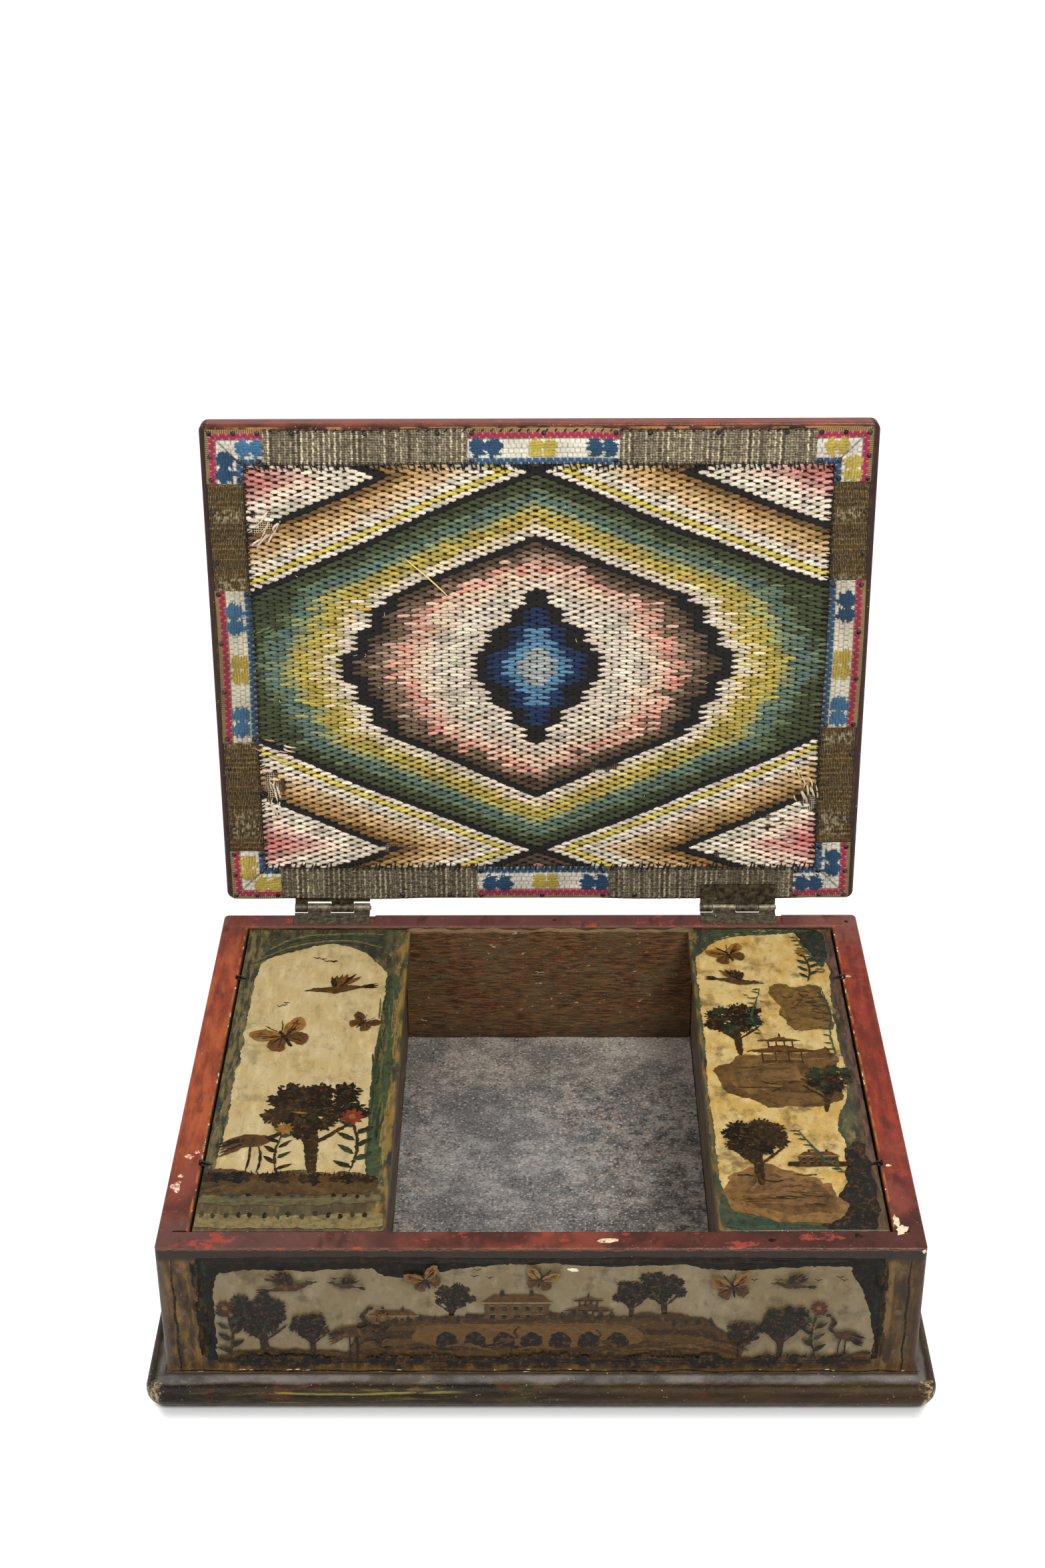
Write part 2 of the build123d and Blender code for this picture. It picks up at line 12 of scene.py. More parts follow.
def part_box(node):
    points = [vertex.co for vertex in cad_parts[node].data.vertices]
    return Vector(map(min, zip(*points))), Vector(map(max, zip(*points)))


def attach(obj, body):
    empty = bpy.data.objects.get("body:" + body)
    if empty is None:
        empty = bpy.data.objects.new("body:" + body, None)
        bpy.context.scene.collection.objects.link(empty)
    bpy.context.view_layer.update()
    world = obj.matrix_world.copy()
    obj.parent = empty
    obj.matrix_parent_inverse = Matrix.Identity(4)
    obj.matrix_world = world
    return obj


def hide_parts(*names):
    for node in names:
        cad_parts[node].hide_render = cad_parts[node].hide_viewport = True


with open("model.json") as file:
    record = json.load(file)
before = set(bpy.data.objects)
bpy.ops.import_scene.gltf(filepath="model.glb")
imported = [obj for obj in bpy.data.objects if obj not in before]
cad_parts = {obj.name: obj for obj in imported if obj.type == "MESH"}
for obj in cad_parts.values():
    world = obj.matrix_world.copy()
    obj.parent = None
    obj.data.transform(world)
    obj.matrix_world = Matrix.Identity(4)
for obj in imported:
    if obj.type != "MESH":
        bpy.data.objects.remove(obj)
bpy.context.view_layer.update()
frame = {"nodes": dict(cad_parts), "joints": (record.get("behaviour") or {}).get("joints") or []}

# All sizes are in millimetres on the real box, and go to metres in make_mesh.
MM = 0.001

# The open lid: s runs from the hinge pin along the lid, n stands out from its inner side.
lid_hinge = next(j for j in frame["joints"] if j["name"] == "main_lid_hinge")
PIN = np.array(lid_hinge["pos_m"]) / MM
OPEN_ANGLE = math.radians(-lid_hinge["range_deg"][0])
ALONG = np.array([0.0, -math.cos(OPEN_ANGLE), math.sin(OPEN_ANGLE)])
OUT = np.array([0.0, -math.sin(OPEN_ANGLE), -math.cos(OPEN_ANGLE)])
# The lid's inner and outer side in n, its ends in s and its half width.
CANVAS_N = -1.0
LID_OUTER_N = -10.4
LID_ENDS = (4.2, 254.2)
LID_HALF_WIDTH = 159.0
# The braids' width, and their outer edges in x and in s.
TRIM_WIDTH = 17.5
TRIM_X = 156.0
TRIM_S = (5.2, 251.7)


def corners_mm(node):
    """The lowest and highest corner of a CAD node in millimetres."""
    low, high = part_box(node)
    return np.array(low) / MM, np.array(high) / MM


WALLS_LOW, WALLS_HIGH = corners_mm("front_wall")
FRONT_Y = WALLS_LOW[1]
RIM_Z = WALLS_HIGH[2]
FOOT_Z = WALLS_LOW[2]
BACK_Y = corners_mm("back_wall")[1][1]
SIDE_X = corners_mm("right_wall")[1][0]
SMALL_LID_TOP = corners_mm("left_compartment_lid")[1][2]
FLOOR_LOW, FLOOR_HIGH = corners_mm("well_lining")


def on_lid(x, s, n):
    """Points on the open lid in the part's frame."""
    x, s, n = np.broadcast_arrays(np.asarray(x, float), s, n)
    sideways = x[..., None] * np.array([1.0, 0.0, 0.0])
    return PIN + sideways + s[..., None] * ALONG + n[..., None] * OUT


def linear(colour):
    """A written colour #rrggbb as linear red, green, blue and alpha."""
    parts = [int(colour[k:k + 2], 16) / 255 for k in (1, 3, 5)]
    return tuple(c / 12.92 if c <= 0.04045 else ((c + 0.055) / 1.055) ** 2.4 for c in parts) + (1.0,)


class Graph:
    """The node tree of a material or a world."""

    def __init__(self, owner):
        owner.use_nodes = True
        self.tree = owner.node_tree
        self.tree.nodes.clear()

    def node(self, kind, inputs=(), **settings):
        """A new node with its settings, and with its inputs by name or by number."""
        node = self.tree.nodes.new("ShaderNode" + kind)
        for name, value in settings.items():
            setattr(node, name, value)
        for key, value in inputs.items() if isinstance(inputs, dict) else enumerate(inputs):
            self.feed(node.inputs[key], value)
        return node

    def feed(self, socket, value):
        """Links a socket, or sets its own value."""
        if isinstance(value, bpy.types.NodeSocket):
            self.tree.links.new(value, socket)
        else:
            socket.default_value = linear(value) if isinstance(value, str) else value

    def vector(self, operation, *values):
        """Vector maths: a vector, or a number where the operation gives one."""
        result = self.node("VectorMath", values, operation=operation).outputs
        return result["Value" if operation in ("DOT_PRODUCT", "LENGTH") else "Vector"]

    def math(self, operation, a, b=0.0, c=0.0):
        return self.node("Math", (a, b, c), operation=operation).outputs[0]

    def plus(self, a, b):
        return self.math("ADD", a, b)

    def minus(self, a, b):
        return self.math("SUBTRACT", a, b)

    def larger(self, a, b):
        return self.math("MAXIMUM", a, b)

    def absolute(self, a):
        return self.math("ABSOLUTE", a)

    def off(self, a, b):
        """How far two values lie apart."""
        return self.absolute(self.minus(a, b))

    def times(self, *values):
        return functools.reduce(lambda a, b: self.math("MULTIPLY", a, b), values)

    def fade(self, value, low, high):
        """0 at low and 1 at high, smooth between. low may be the higher one."""
        inputs = (value, low, high, 0.0, 1.0)
        return self.node("MapRange", inputs, interpolation_type="SMOOTHSTEP").outputs[0]

    def scale_range(self, value, low, high):
        """A value from 0 to 1 taken to low to high."""
        return self.math("MULTIPLY_ADD", value, high - low, low)

    def mix(self, share, a, b, how="MIX"):
        inputs = {0: share, 6: a, 7: b}
        return self.node("Mix", inputs, data_type="RGBA", blend_type=how).outputs[2]

    def over(self, ground, colour, *shares):
        """A colour laid over the ground by the product of its shares."""
        return self.mix(self.times(*shares), ground, colour)


FINISHES = {}


class Finish(Graph):
    """A material. place is the object's own position in millimetres."""

    def __init__(self, name):
        self.material = FINISHES[name] = bpy.data.materials.new(name)
        super().__init__(self.material)
        coordinates = self.node("TexCoord").outputs
        self.normal = coordinates["Normal"]
        inputs = {0: coordinates["Object"], "Scale": 1 / MM}
        self.place = self.node("VectorMath", inputs, operation="SCALE").outputs[0]

    def xyz(self):
        return self.node("SeparateXYZ", (self.place,)).outputs

    def along(self, direction, origin=(0, 0, 0)):
        """How far the place lies along a direction from an origin, in millimetres."""
        from_origin = self.vector("SUBTRACT", self.place, tuple(origin))
        return self.vector("DOT_PRODUCT", from_origin, tuple(direction))

    def facing(self, direction):
        """How much the surface faces a direction, from -1 to 1."""
        return self.vector("DOT_PRODUCT", self.normal, tuple(direction))

    def stretched(self, size, stretch, seed, place):
        """The place in units of size, and at a spot of the pattern that belongs to the seed."""
        scaled = self.vector("MULTIPLY", place or self.place, tuple(1 / (size * k) for k in stretch))
        return self.vector("ADD", scaled, (seed * 7.3, seed * 3.1, seed * 5.7))

    def noise(self, size, detail=3.0, stretch=(1, 1, 1), seed=0.0, rough=0.55, place=None):
        """Noise with spots about size millimetres wide, longer where stretch is."""
        inputs = {"Vector": self.stretched(size, stretch, seed, place), "Scale": 1.0, "Detail": detail,
                  "Roughness": rough}
        return self.node("TexNoise", inputs).outputs[0]

    def spots(self, low, high, *pattern, **more):
        """1 in the spots of a noise, from low to high at their edges, and 0 between them."""
        return self.fade(self.noise(*pattern, **more), low, high)

    def crackle(self, size, seed, width):
        """1 on the lines between cells of size millimetres."""
        inputs = {"Vector": self.stretched(size, (1, 1, 1), seed, None), "Scale": 1.0}
        cells = self.node("TexVoronoi", inputs, feature="DISTANCE_TO_EDGE").outputs["Distance"]
        return self.fade(cells, width, 0.0)

    def attribute(self, name, output="Color"):
        return self.node("Attribute", attribute_name=name).outputs[output]

    def lightened(self, colour, value):
        """A colour with its value multiplied."""
        return self.node("HueSaturation", {"Value": value, "Color": colour}).outputs[0]

    def surface(self, colour, roughness, relief, depth, **plain):
        """Ends the material: relief is a height from 0 to 1 of depth millimetres."""
        bump = self.node("Bump", {"Distance": depth * MM, "Height": relief}).outputs[0]
        inputs = {"Base Color": colour, "Roughness": roughness, "Normal": bump}
        inputs.update((name.replace("_", " "), value) for name, value in plain.items())
        shader = self.node("BsdfPrincipled", inputs).outputs[0]
        self.node("OutputMaterial", {"Surface": shader})
        return self.material


# Materials

# The inner edge of the side rims, and of the front and back ones; the gilt line on the front.
RIM_INNER_X, RIM_INNER_Y = 147.6, 114.6
GILT_LINE_X = 145.6
# From thread to thread, in millimetres.
CANVAS_THREAD, GALLOON_THREAD = 1.05, 0.8


def lacquer(name):
    """Red lacquer, bright along the middle of the side rims, brown at the ends, worn to coral and cream."""
    g = Finish(name)
    x, y, z = g.xyz()
    cloud = g.noise(17, 5, seed=2)
    brushed = g.noise(4, 6, (1, 5, 1), 4, 0.62)
    on_sides = g.fade(g.absolute(x), RIM_INNER_X - 3.1, RIM_INNER_X - 1.1)
    middle = g.fade(g.plus(g.off(y, 16), g.times(cloud, 90.0)), 166, 96)
    in_front = g.fade(y, -100, -113)
    far_right = g.times(g.fade(x, 120, 140), g.fade(y, 60, 90))
    dark = g.mix(g.fade(cloud, 0.36, 0.64), "#46251f", "#7a3c30")
    dark = g.over(dark, g.mix(cloud, "#49302a", "#5d433d"), g.fade(x, -20, -110), in_front, 0.8)
    dark = g.over(dark, g.mix(cloud, "#2f1915", "#432822"), g.fade(x, 10, 80), in_front, 0.75)
    dark = g.over(dark, g.mix(cloud, "#4a2a28", "#6b4440"), g.fade(y, 108, 114))
    dark = g.over(dark, "#7d5249", far_right, 0.7)
    warm = g.mix(g.fade(brushed, 0.34, 0.66), "#77321f", "#a3502d")
    warm = g.over(warm, g.mix(g.fade(brushed, 0.34, 0.7), "#67261a", "#913825"), g.fade(x, 0, 20))
    red = g.over(dark, warm, on_sides, middle)
    red = g.over(red, "#40211b", g.spots(0.54, 0.7, 7, 6, (1, 2.6, 1), 7), 0.7)
    worn = g.times(g.spots(0.575, 0.62, 9, 7, (1.8, 1, 1), 9, 0.7), 0.8)
    red = g.over(red, g.mix(brushed, "#8c3327", "#a84a3a"), worn, g.scale_range(on_sides, 1.0, 0.45))
    red = g.over(red, "#6e5a55", g.spots(0.6, 0.74, 8, 6, (1, 2, 1), 12, 0.7), 0.4)
    return g, red, (x, y, z)


def outer_paint(g, x, y, z):
    """Dark varnished paint, golden towards the ends, with a gilt line, a dark band and a worn foot."""
    runs = g.noise(3.5, 6, (1, 1, 7), 3, 0.62)
    to_ends = g.fade(g.larger(g.minus(g.absolute(x), 141), g.minus(g.absolute(y), 106)), 0, 5)
    gold = g.times(g.spots(0.36, 0.6, 5, 6, (1, 1, 4), 21, 0.65), to_ends)
    outermost = g.fade(g.plus(g.absolute(x), g.times(runs, 3.0)), SIDE_X - 3.4, SIDE_X - 0.6)
    foot = g.fade(g.plus(z, g.times(g.noise(14, 5, seed=5), 4.0)), FOOT_Z + 6.5, FOOT_Z + 1.5)
    paint = g.mix(g.fade(runs, 0.35, 0.68), "#191208", "#462f12")
    paint = g.over(paint, g.mix(g.fade(runs, 0.32, 0.66), "#35260f", "#81602c"), gold, 0.8)
    paint = g.over(paint, "#21180d", g.spots(0.46, 0.6, 5, 6, (1, 1, 1.5), 24, 0.7), to_ends, 0.6)
    gilt = g.fade(g.off(x, GILT_LINE_X), 2, 0.7)
    paint = g.over(paint, "#93703a", gilt, g.spots(0.44, 0.56, 6, 6, (1, 1, 2), 26), 0.65)
    paint = g.over(paint, "#30200c", g.fade(x, 0, 100), to_ends, 0.45)
    paint = g.over(paint, g.mix(g.fade(x, -50, 50), "#51483f", "#3c2214"), outermost, 0.55)
    paint = g.over(paint, g.mix(runs, "#17110d", "#38271c"), g.fade(z, RIM_Z - 8.5, RIM_Z - 5))
    return g.over(paint, g.mix(runs, "#46321d", "#7b5f3a"), foot, 0.85)


def inner_wood(g):
    """Old brown wood and paper with wrinkles, as a colour."""
    wood = g.mix(g.spots(0.3, 0.72, 2.2, 6, (8, 8, 1), 14), "#2b1c10", "#5d4427")
    wood = g.over(wood, "#5c2c1c", g.spots(0.56, 0.7, 5, 5, (3, 3, 1), 15), 0.6)
    return g.over(wood, "#9a8a70", g.spots(0.58, 0.78, 4, 7, (3, 3, 1), 16, 0.72), 0.55)


def wall_finish():
    """The walls: lacquer on the rim, dark varnished paint outside, bare wood inside."""
    g, red, (x, y, z) = lacquer("wall_lacquer")
    top = g.fade(g.plus(g.facing((0, 0, 1)), g.times(g.noise(4, 4), 0.3)), 0.45, 0.75)
    inside = g.times(g.fade(g.absolute(x), RIM_INNER_X + 0.7, RIM_INNER_X - 0.4),
                     g.fade(g.absolute(y), RIM_INNER_Y + 0.7, RIM_INNER_Y - 0.4))
    colour = g.mix(top, g.mix(inside, outer_paint(g, x, y, z), inner_wood(g)), red)
    edge_line = g.times(g.fade(g.off(g.absolute(x), RIM_INNER_X), 0.7, 0.2),
                        g.fade(g.absolute(y), RIM_INNER_Y + 0.4, RIM_INNER_Y - 1.1), top)
    colour = g.over(colour, "#a8622f", edge_line, g.spots(0.4, 0.6, 6, 5))
    rubbed = g.plus(g.minus(RIM_Z - 0.7, z), g.times(g.noise(5, 6, seed=41, rough=0.7), 3.2))
    front_edge = g.times(g.fade(g.off(rubbed, 1.75), 0.5, 0.1), g.fade(z, RIM_Z - 3, RIM_Z - 1.5))
    colour = g.over(colour, "#7d5533", front_edge, 0.5)
    colour = g.over(colour, "#b9a583", g.spots(0.715, 0.74, 1.3, 3, seed=31), 0.6)
    relief = g.plus(g.noise(5, 5, seed=8), g.times(g.noise(0.9, 3), 0.25))
    rough = g.plus(g.scale_range(g.noise(7, 4, seed=6), 0.24, 0.5), g.times(inside, 0.3))
    return g.surface(colour, rough, relief, 0.45, Specular_IOR_Level=0.26)


def bare_wood():
    """Grey-brown wood of the partitions and the bottom board."""
    g = Finish("bare_wood")
    grain = g.noise(1.6, 6, (7, 7, 1), 2)
    colour = g.mix(g.fade(grain, 0.3, 0.7), "#3f3427", "#6e5f4c")
    colour = g.over(colour, "#4d4138", g.spots(0.5, 0.7, 12, 5, seed=3), 0.5)
    colour = g.over(colour, "#b4a488", g.spots(0.66, 0.72, 1.1, 4, seed=5), 0.5)
    return g.surface(colour, 0.72, grain, 0.25, Specular_IOR_Level=0.3)


def back_paper():
    """The brown wrinkled paper on the well's back: its torn top paler, partly a painted highlight, and
    painted shade along the floor.
    """
    g = Finish("back_paper")
    z = g.xyz()[2]
    wrinkles = g.noise(11, 6, (1.8, 1, 0.8), 4, 0.66)
    fine = g.noise(1.0, 6, (7, 1, 1), 6, 0.7)
    creases = g.times(g.fade(g.off(wrinkles, 0.5), 0.016, 0), g.spots(0.45, 0.6, 14, 4, seed=31))
    top = g.fade(g.plus(z, g.times(g.noise(6, 5, (2, 1, 1), 16), 5.0)), RIM_Z - 1.5, RIM_Z)
    low = g.fade(z, FLOOR_HIGH[2] + 14, FLOOR_HIGH[2])
    colour = g.mix(g.fade(fine, 0.36, 0.64), "#2f1d0b", "#75502a")
    colour = g.over(colour, g.mix(fine, "#3a2c16", "#75623d"), g.spots(0.42, 0.62, 17, 5, seed=8), 0.5)
    colour = g.over(colour, "#74281a", g.spots(0.58, 0.66, 1.6, 5, (6, 1, 1), 9), 0.7)
    colour = g.over(colour, "#a08b66", creases, 0.4)
    colour = g.over(colour, "#c0ae8c", g.spots(0.635, 0.665, 2.4, 6, (2, 1, 1), 14, 0.75), 0.9)
    # The torn top edge is paler, partly a painted highlight.
    colour = g.over(colour, "#a38a64", top, 0.6)
    # Darker towards the floor: painted shade in the corner.
    colour = g.over(colour, "#221a14", low, g.noise(7, 4))
    relief = g.plus(wrinkles, g.plus(g.times(fine, 0.25), g.times(creases, 0.25)))
    return g.surface(colour, 0.5, relief, 1.6, Specular_IOR_Level=0.4)


def floor_paper():
    """Grey marbled paper with whitish dust on the well's floor, and painted light towards its back."""
    g = Finish("floor_paper")
    x, y, _ = g.xyz()
    clouds = g.noise(34, 6, seed=3, rough=0.68)
    middle = g.noise(4.5, 7, (1.2, 1, 1), 5, 0.8)
    grains = g.noise(1.35, 4, seed=7, rough=0.75)
    far_x = g.math("DIVIDE", g.plus(x, 22.0), 62.0)
    far_y = g.math("DIVIDE", g.minus(y, 12.0), 74.0)
    dusty = g.plus(g.times(far_x, far_x), g.plus(g.times(far_y, far_y), g.times(clouds, 3.2)))
    colour = g.mix(g.fade(middle, 0.36, 0.64), "#413d39", "#9e978e")
    for tint, *shares in (
        ("#9c6534", g.spots(0.57, 0.68, 1.9, 5, (2.4, 1, 1), 9, 0.7), 0.7),
        # Paler towards the back: painted light over the shade there.
        ("#c3c3c3", g.fade(dusty, 2.9, 1.2), 0.4), ("#a89d8f", g.fade(y, 60, 100), 0.5),
        ("#3a393b", g.fade(clouds, 0.56, 0.42), 0.6),
        ("#ded8cd", g.fade(grains, 0.56, 0.66), 0.75), ("#1e1b19", g.fade(grains, 0.45, 0.37), 0.85),
        ("#d3c8b5", g.spots(0.65, 0.72, 1.3, 4, (4, 1, 1), 8, 0.7), 0.45),
    ):
        colour = g.over(colour, tint, *shares)
    relief = g.plus(clouds, g.plus(g.times(middle, 0.35), g.times(grains, 0.25)))
    return g.surface(colour, 0.62, relief, 0.5, Specular_IOR_Level=0.35)


def plinth_nose(g, x, z, streaked):
    """The plinth's rounded edge: nearly black, with olive, rust and a yellowish stripe."""
    runs = g.noise(5, 6, (5, 5, 0.7), 2, 0.66)
    nose = g.mix(g.fade(runs, 0.35, 0.64), "#0f0903", "#291b07")
    nose = g.over(nose, "#3d390c", g.spots(0.5, 0.66, 6, 6, (4, 4, 0.8), 6, 0.62), 0.6)
    lime = g.spots(0.57, 0.65, 3, 6, (9, 9, 0.5), 8, 0.65)
    nose = g.over(nose, "#8f8436", lime, g.scale_range(streaked, 0.12, 0.3))
    nose = g.over(nose, g.mix(runs, "#160d03", "#4b3005"), g.fade(x, -20, 60), 0.5)
    return g.over(nose, "#55280f", g.spots(0.56, 0.7, 8, 6, (2, 2, 0.8), 11), 0.6)


def plinth_slope_painted_sheen(g, reach):
    """The plinth's slope: a grey painted sheen with paler glints and brown spots, and painted shade against
    the wall.
    """
    # Grey with paler spots: a painted sheen and glints over the slope's dark paint.
    slope = g.mix(g.spots(0.34, 0.66, 9, 6, (3, 3, 1), 12, 0.65), "#45403c", "#77716a")
    slope = g.over(slope, "#8f8574", g.spots(0.57, 0.68, 3, 6, (5, 5, 1), 13, 0.7), 0.5)
    slope = g.over(slope, "#3a2f1b", g.spots(0.54, 0.64, 11, 6, (2, 2, 1), 25), 0.6)
    # Painted shade where the slope meets the wall.
    return g.mix(0.12, g.over(slope, "#231d17", g.fade(reach, 1.6, 0.2)), "#1c1814")


def plinth_paint():
    """Dark paint: a grey painted sheen on the slope, olive and brown on the nose, chipped to cream at corners
    and foot.
    """
    g = Finish("plinth_paint")
    x, y, z = g.xyz()
    reach = g.larger(g.minus(g.absolute(x), SIDE_X), g.minus(g.absolute(y), -FRONT_Y))
    drift = g.times(g.noise(13, 5, (2, 2, 1), 22, 0.6), 5.0)
    streaked = g.fade(g.absolute(g.plus(x, 80)), 52, 34)
    # Where the slope is: its grey is a painted sheen.
    painted_sheen_share = g.fade(g.plus(reach, drift), 7.8, 5.6)
    colour = g.mix(painted_sheen_share, plinth_nose(g, x, z, streaked), plinth_slope_painted_sheen(g, reach))
    wander = g.times(g.noise(16, 4, (2, 2, 1), 33), 3.0)
    stripe = g.times(g.fade(g.off(g.plus(z, wander), 10.6), 0.55, 0.15), streaked,
                     g.spots(0.4, 0.52, 5, 6, (4, 4, 1), 35, 0.7))
    colour = g.over(colour, "#98903c", stripe, 0.5)
    grain = g.noise(2.4, 6, seed=15, rough=0.7)
    low = g.fade(g.plus(z, g.times(grain, 4.6)), 4.1, 2.6)
    corners = [g.fade(g.plus(g.absolute(value), g.times(grain, 18.0)), edge, edge + 3.5)
               for value, edge in ((x, SIDE_X + 10.5), (y, 10.5 - FRONT_Y))]
    chips = g.larger(low, g.times(*corners))
    crumbs = g.mix(g.spots(0.42, 0.58, 1.7, 5, seed=17, rough=0.7), "#4a2f1a", "#b8a582")
    spared = g.spots(0.4, 0.54, 3.4, 5, seed=18, rough=0.7)
    colour = g.over(colour, crumbs, chips, g.scale_range(spared, 0.3, 0.9))
    colour = g.over(colour, "#b3a88c", g.spots(0.69, 0.72, 1.2, 3, seed=19), 0.6)
    relief = g.plus(g.noise(7, 6, (3, 3, 1), 20, 0.62), g.times(grain, 0.5))
    rough = g.scale_range(g.noise(6, 4, seed=21), 0.28, 0.55)
    return g.surface(colour, rough, relief, 0.9, Specular_IOR_Level=0.22)


def board_lacquer():
    """The main lid's board: brown-red lacquered edges with painted shade and light, coral margin inside, dark
    paint outside.
    """
    g = Finish("board_lacquer")
    across, along = g.absolute(g.along((1, 0, 0))), g.along(ALONG, PIN)
    cloud = g.noise(20, 5, seed=3)
    fine = g.noise(2.4, 6, (3, 1, 1), 5, 0.65)
    red = g.mix(g.fade(cloud, 0.36, 0.64), "#571f19", "#8a3527")
    red = g.over(red, "#a4573f", g.fade(fine, 0.5, 0.72), 0.65)
    red = g.over(red, "#351613", g.spots(0.54, 0.66, 6, 5, seed=7), 0.7)
    # Painted shade on the side faces, and painted light on the end face that faces up when the lid is open.
    red = g.over(red, "#2c1811", g.fade(g.absolute(g.facing((1, 0, 0))), 0.6, 0.9), 0.9)
    red = g.over(red, g.mix(cloud, "#784439", "#8d5746"), g.fade(g.facing(ALONG), 0.5, 0.8), 0.6)
    beyond_ends = g.minus(g.off(along, sum(TRIM_S) / 2), (TRIM_S[1] - TRIM_S[0]) / 2)
    beyond_trims = g.larger(g.minus(across, TRIM_X), beyond_ends)
    margin = g.over(g.mix(g.fade(cloud, 0.35, 0.65), "#3c1d14", "#6b3626"), "#b0773c",
                    g.fade(beyond_trims, 0.9, 0.5), g.spots(0.42, 0.56, 9, 5, seed=12))
    dark = g.mix(g.spots(0.35, 0.68, 5, 6, (3, 1, 1), 9), "#1d1b16", "#3d3622")
    colour = g.over(red, margin, g.fade(g.facing(OUT), 0.5, 0.85))
    colour = g.over(colour, "#27140d", g.fade(g.plus(across, g.times(fine, 1.2)), 155.2, 156.6), 0.9)
    colour = g.over(colour, dark, g.fade(g.facing(OUT), -0.6, -0.85))
    colour = g.over(colour, "#d9c39c", g.spots(0.7, 0.73, 1.2, 3, seed=13), 0.7)
    relief = g.plus(g.noise(5, 5, seed=15), g.times(fine, 0.4))
    rough = g.scale_range(g.noise(5, 4, seed=17), 0.2, 0.45)
    return g.surface(colour, rough, relief, 0.5, Specular_IOR_Level=0.35)


def small_lid_paint(name, middle_x, mirror, outer_dark, outer_light):
    """Mottled dark green and brown paint on a compartment lid, worn to ochre along its edges."""
    g = Finish(name)
    x, y, z = g.xyz()
    from_middle = g.minus(x, middle_x)
    brush = g.noise(5, 6, (0.8, 3, 1), 3, 0.62)
    streaks = g.spots(0.4, 0.6, 3.2, 6, (0.8, 4, 1), 18, 0.66)
    inner_edge = g.fade(g.times(from_middle, -mirror), 32.5, 36.5)
    colour = g.mix(g.fade(brush, 0.35, 0.66), "#292820", "#4c4b32")
    for tint, *shares in (
        ("#2e3d33", g.spots(0.48, 0.64, 9, 5, seed=6), 0.5),
        ("#806b3a", g.spots(0.53, 0.66, 5, 6, (1, 2.4, 1), 8, 0.7), 0.8),
        (g.mix(streaks, outer_dark, outer_light), g.fade(g.times(from_middle, mirror), 29, 33.5), 0.75),
        (g.mix(brush, "#2c2118", "#6b5430"), g.fade(g.plus(y, g.times(brush, 9.0)), -80, -86), 0.55),
        ("#8a6c34", g.times(inner_edge, g.spots(0.42, 0.6, 5, 6, (0.6, 3, 1), 10)), 0.75),
        (g.mix(brush, "#3b2c1b", "#6f5735"), g.fade(z, SMALL_LID_TOP - 1.6, SMALL_LID_TOP - 2.8)),
        ("#cdbf9b", g.spots(0.69, 0.72, 1.1, 3, seed=12), 0.75),
    ):
        colour = g.over(colour, tint, *shares)
    relief = g.plus(brush, g.times(g.noise(1.2, 4, seed=14), 0.4))
    rough = g.scale_range(g.noise(8, 4, seed=16), 0.25, 0.5)
    return g.surface(colour, rough, relief, 0.35, Specular_IOR_Level=0.35)


def aged_ground(name, pale, yellow, dirt, yellow_share, dirt_share, across):
    """The cream ground under the figures: brushed, stained and freckled, under old varnish."""
    g = Finish(name)
    brush = g.noise(4, 6, across, 2, 0.62)
    colour = g.over(pale, yellow, g.spots(0.38, 0.62, 16, 5, seed=4), yellow_share)
    for tint, *shares in (
        (dirt, g.spots(0.5, 0.68, 13, 7, seed=6, rough=0.68), dirt_share),
        (g.mix(1.0, pale, "#ffffff", "SOFT_LIGHT"), g.fade(brush, 0.5, 0.75), 0.4),
        (dirt, g.fade(brush, 0.45, 0.3), 0.4),
        ("#4d3822", g.spots(0.64, 0.7, 1.5, 5, seed=8, rough=0.75), 0.6),
        ("#5a4426", g.crackle(3.4, 3, 0.035), g.spots(0.5, 0.6, 11, 4, seed=12), 0.45),
    ):
        colour = g.over(colour, tint, *shares)
    relief = g.plus(brush, g.times(g.noise(0.8, 4, seed=10), 0.3))
    return g.surface(colour, 0.42, relief, 0.2, Specular_IOR_Level=0.3)


def print_paper(name, rubbing):
    """Pasted paper and paint: their own tint with engraved hatching, darkened and rubbed in places."""
    g = Finish(name)
    tint = g.attribute("tint")
    hatch = g.noise(0.55, 3, (6, 6, 1), 2)
    mottle = g.noise(2.4, 6, seed=4, rough=0.7)
    colour = g.over(tint, "#1d140d", g.fade(hatch, 0.42, 0.66), 0.4)
    colour = g.over(colour, "#744d22", g.fade(mottle, 0.5, 0.7), 0.5 * rubbing)
    colour = g.over(colour, "#120e0b", g.fade(mottle, 0.45, 0.3), 0.55)
    rubbed = g.spots(0.6, 0.67, 1.3, 6, seed=9, rough=0.75)
    colour = g.over(colour, g.mix(0.5, tint, "#8f7a50"), rubbed, 0.45 * rubbing)
    relief = g.plus(mottle, g.times(hatch, 0.5))
    return g.surface(colour, 0.42, relief, 0.15, Specular_IOR_Level=0.2 * rubbing)


def wool():
    """Stitches of worsted: each has its own dye (for the flame stitches with painted shade towards the
    canvas), with fibres that run along it.
    """
    g = Finish("wool")
    twist = g.noise(0.62, 3, (3.4, 0.55, 1), rough=0.6, place=g.attribute("yarn", "Vector"))
    fibres = g.plus(g.times(twist, 0.75), g.times(g.noise(0.5, 4, seed=3, rough=0.7), 0.25))
    shade = g.scale_range(g.fade(fibres, 0.3, 0.68), 0.62, 1.2)
    faded = g.scale_range(g.spots(0.3, 0.7, 38, 3, seed=6), 0.93, 1.06)
    colour = g.lightened(g.attribute("dye"), g.times(shade, faded))
    sheen = {"Sheen_Weight": 0.12, "Sheen_Roughness": 0.5}
    return g.surface(colour, 0.82, fibres, 0.3, Specular_IOR_Level=0.25, **sheen)


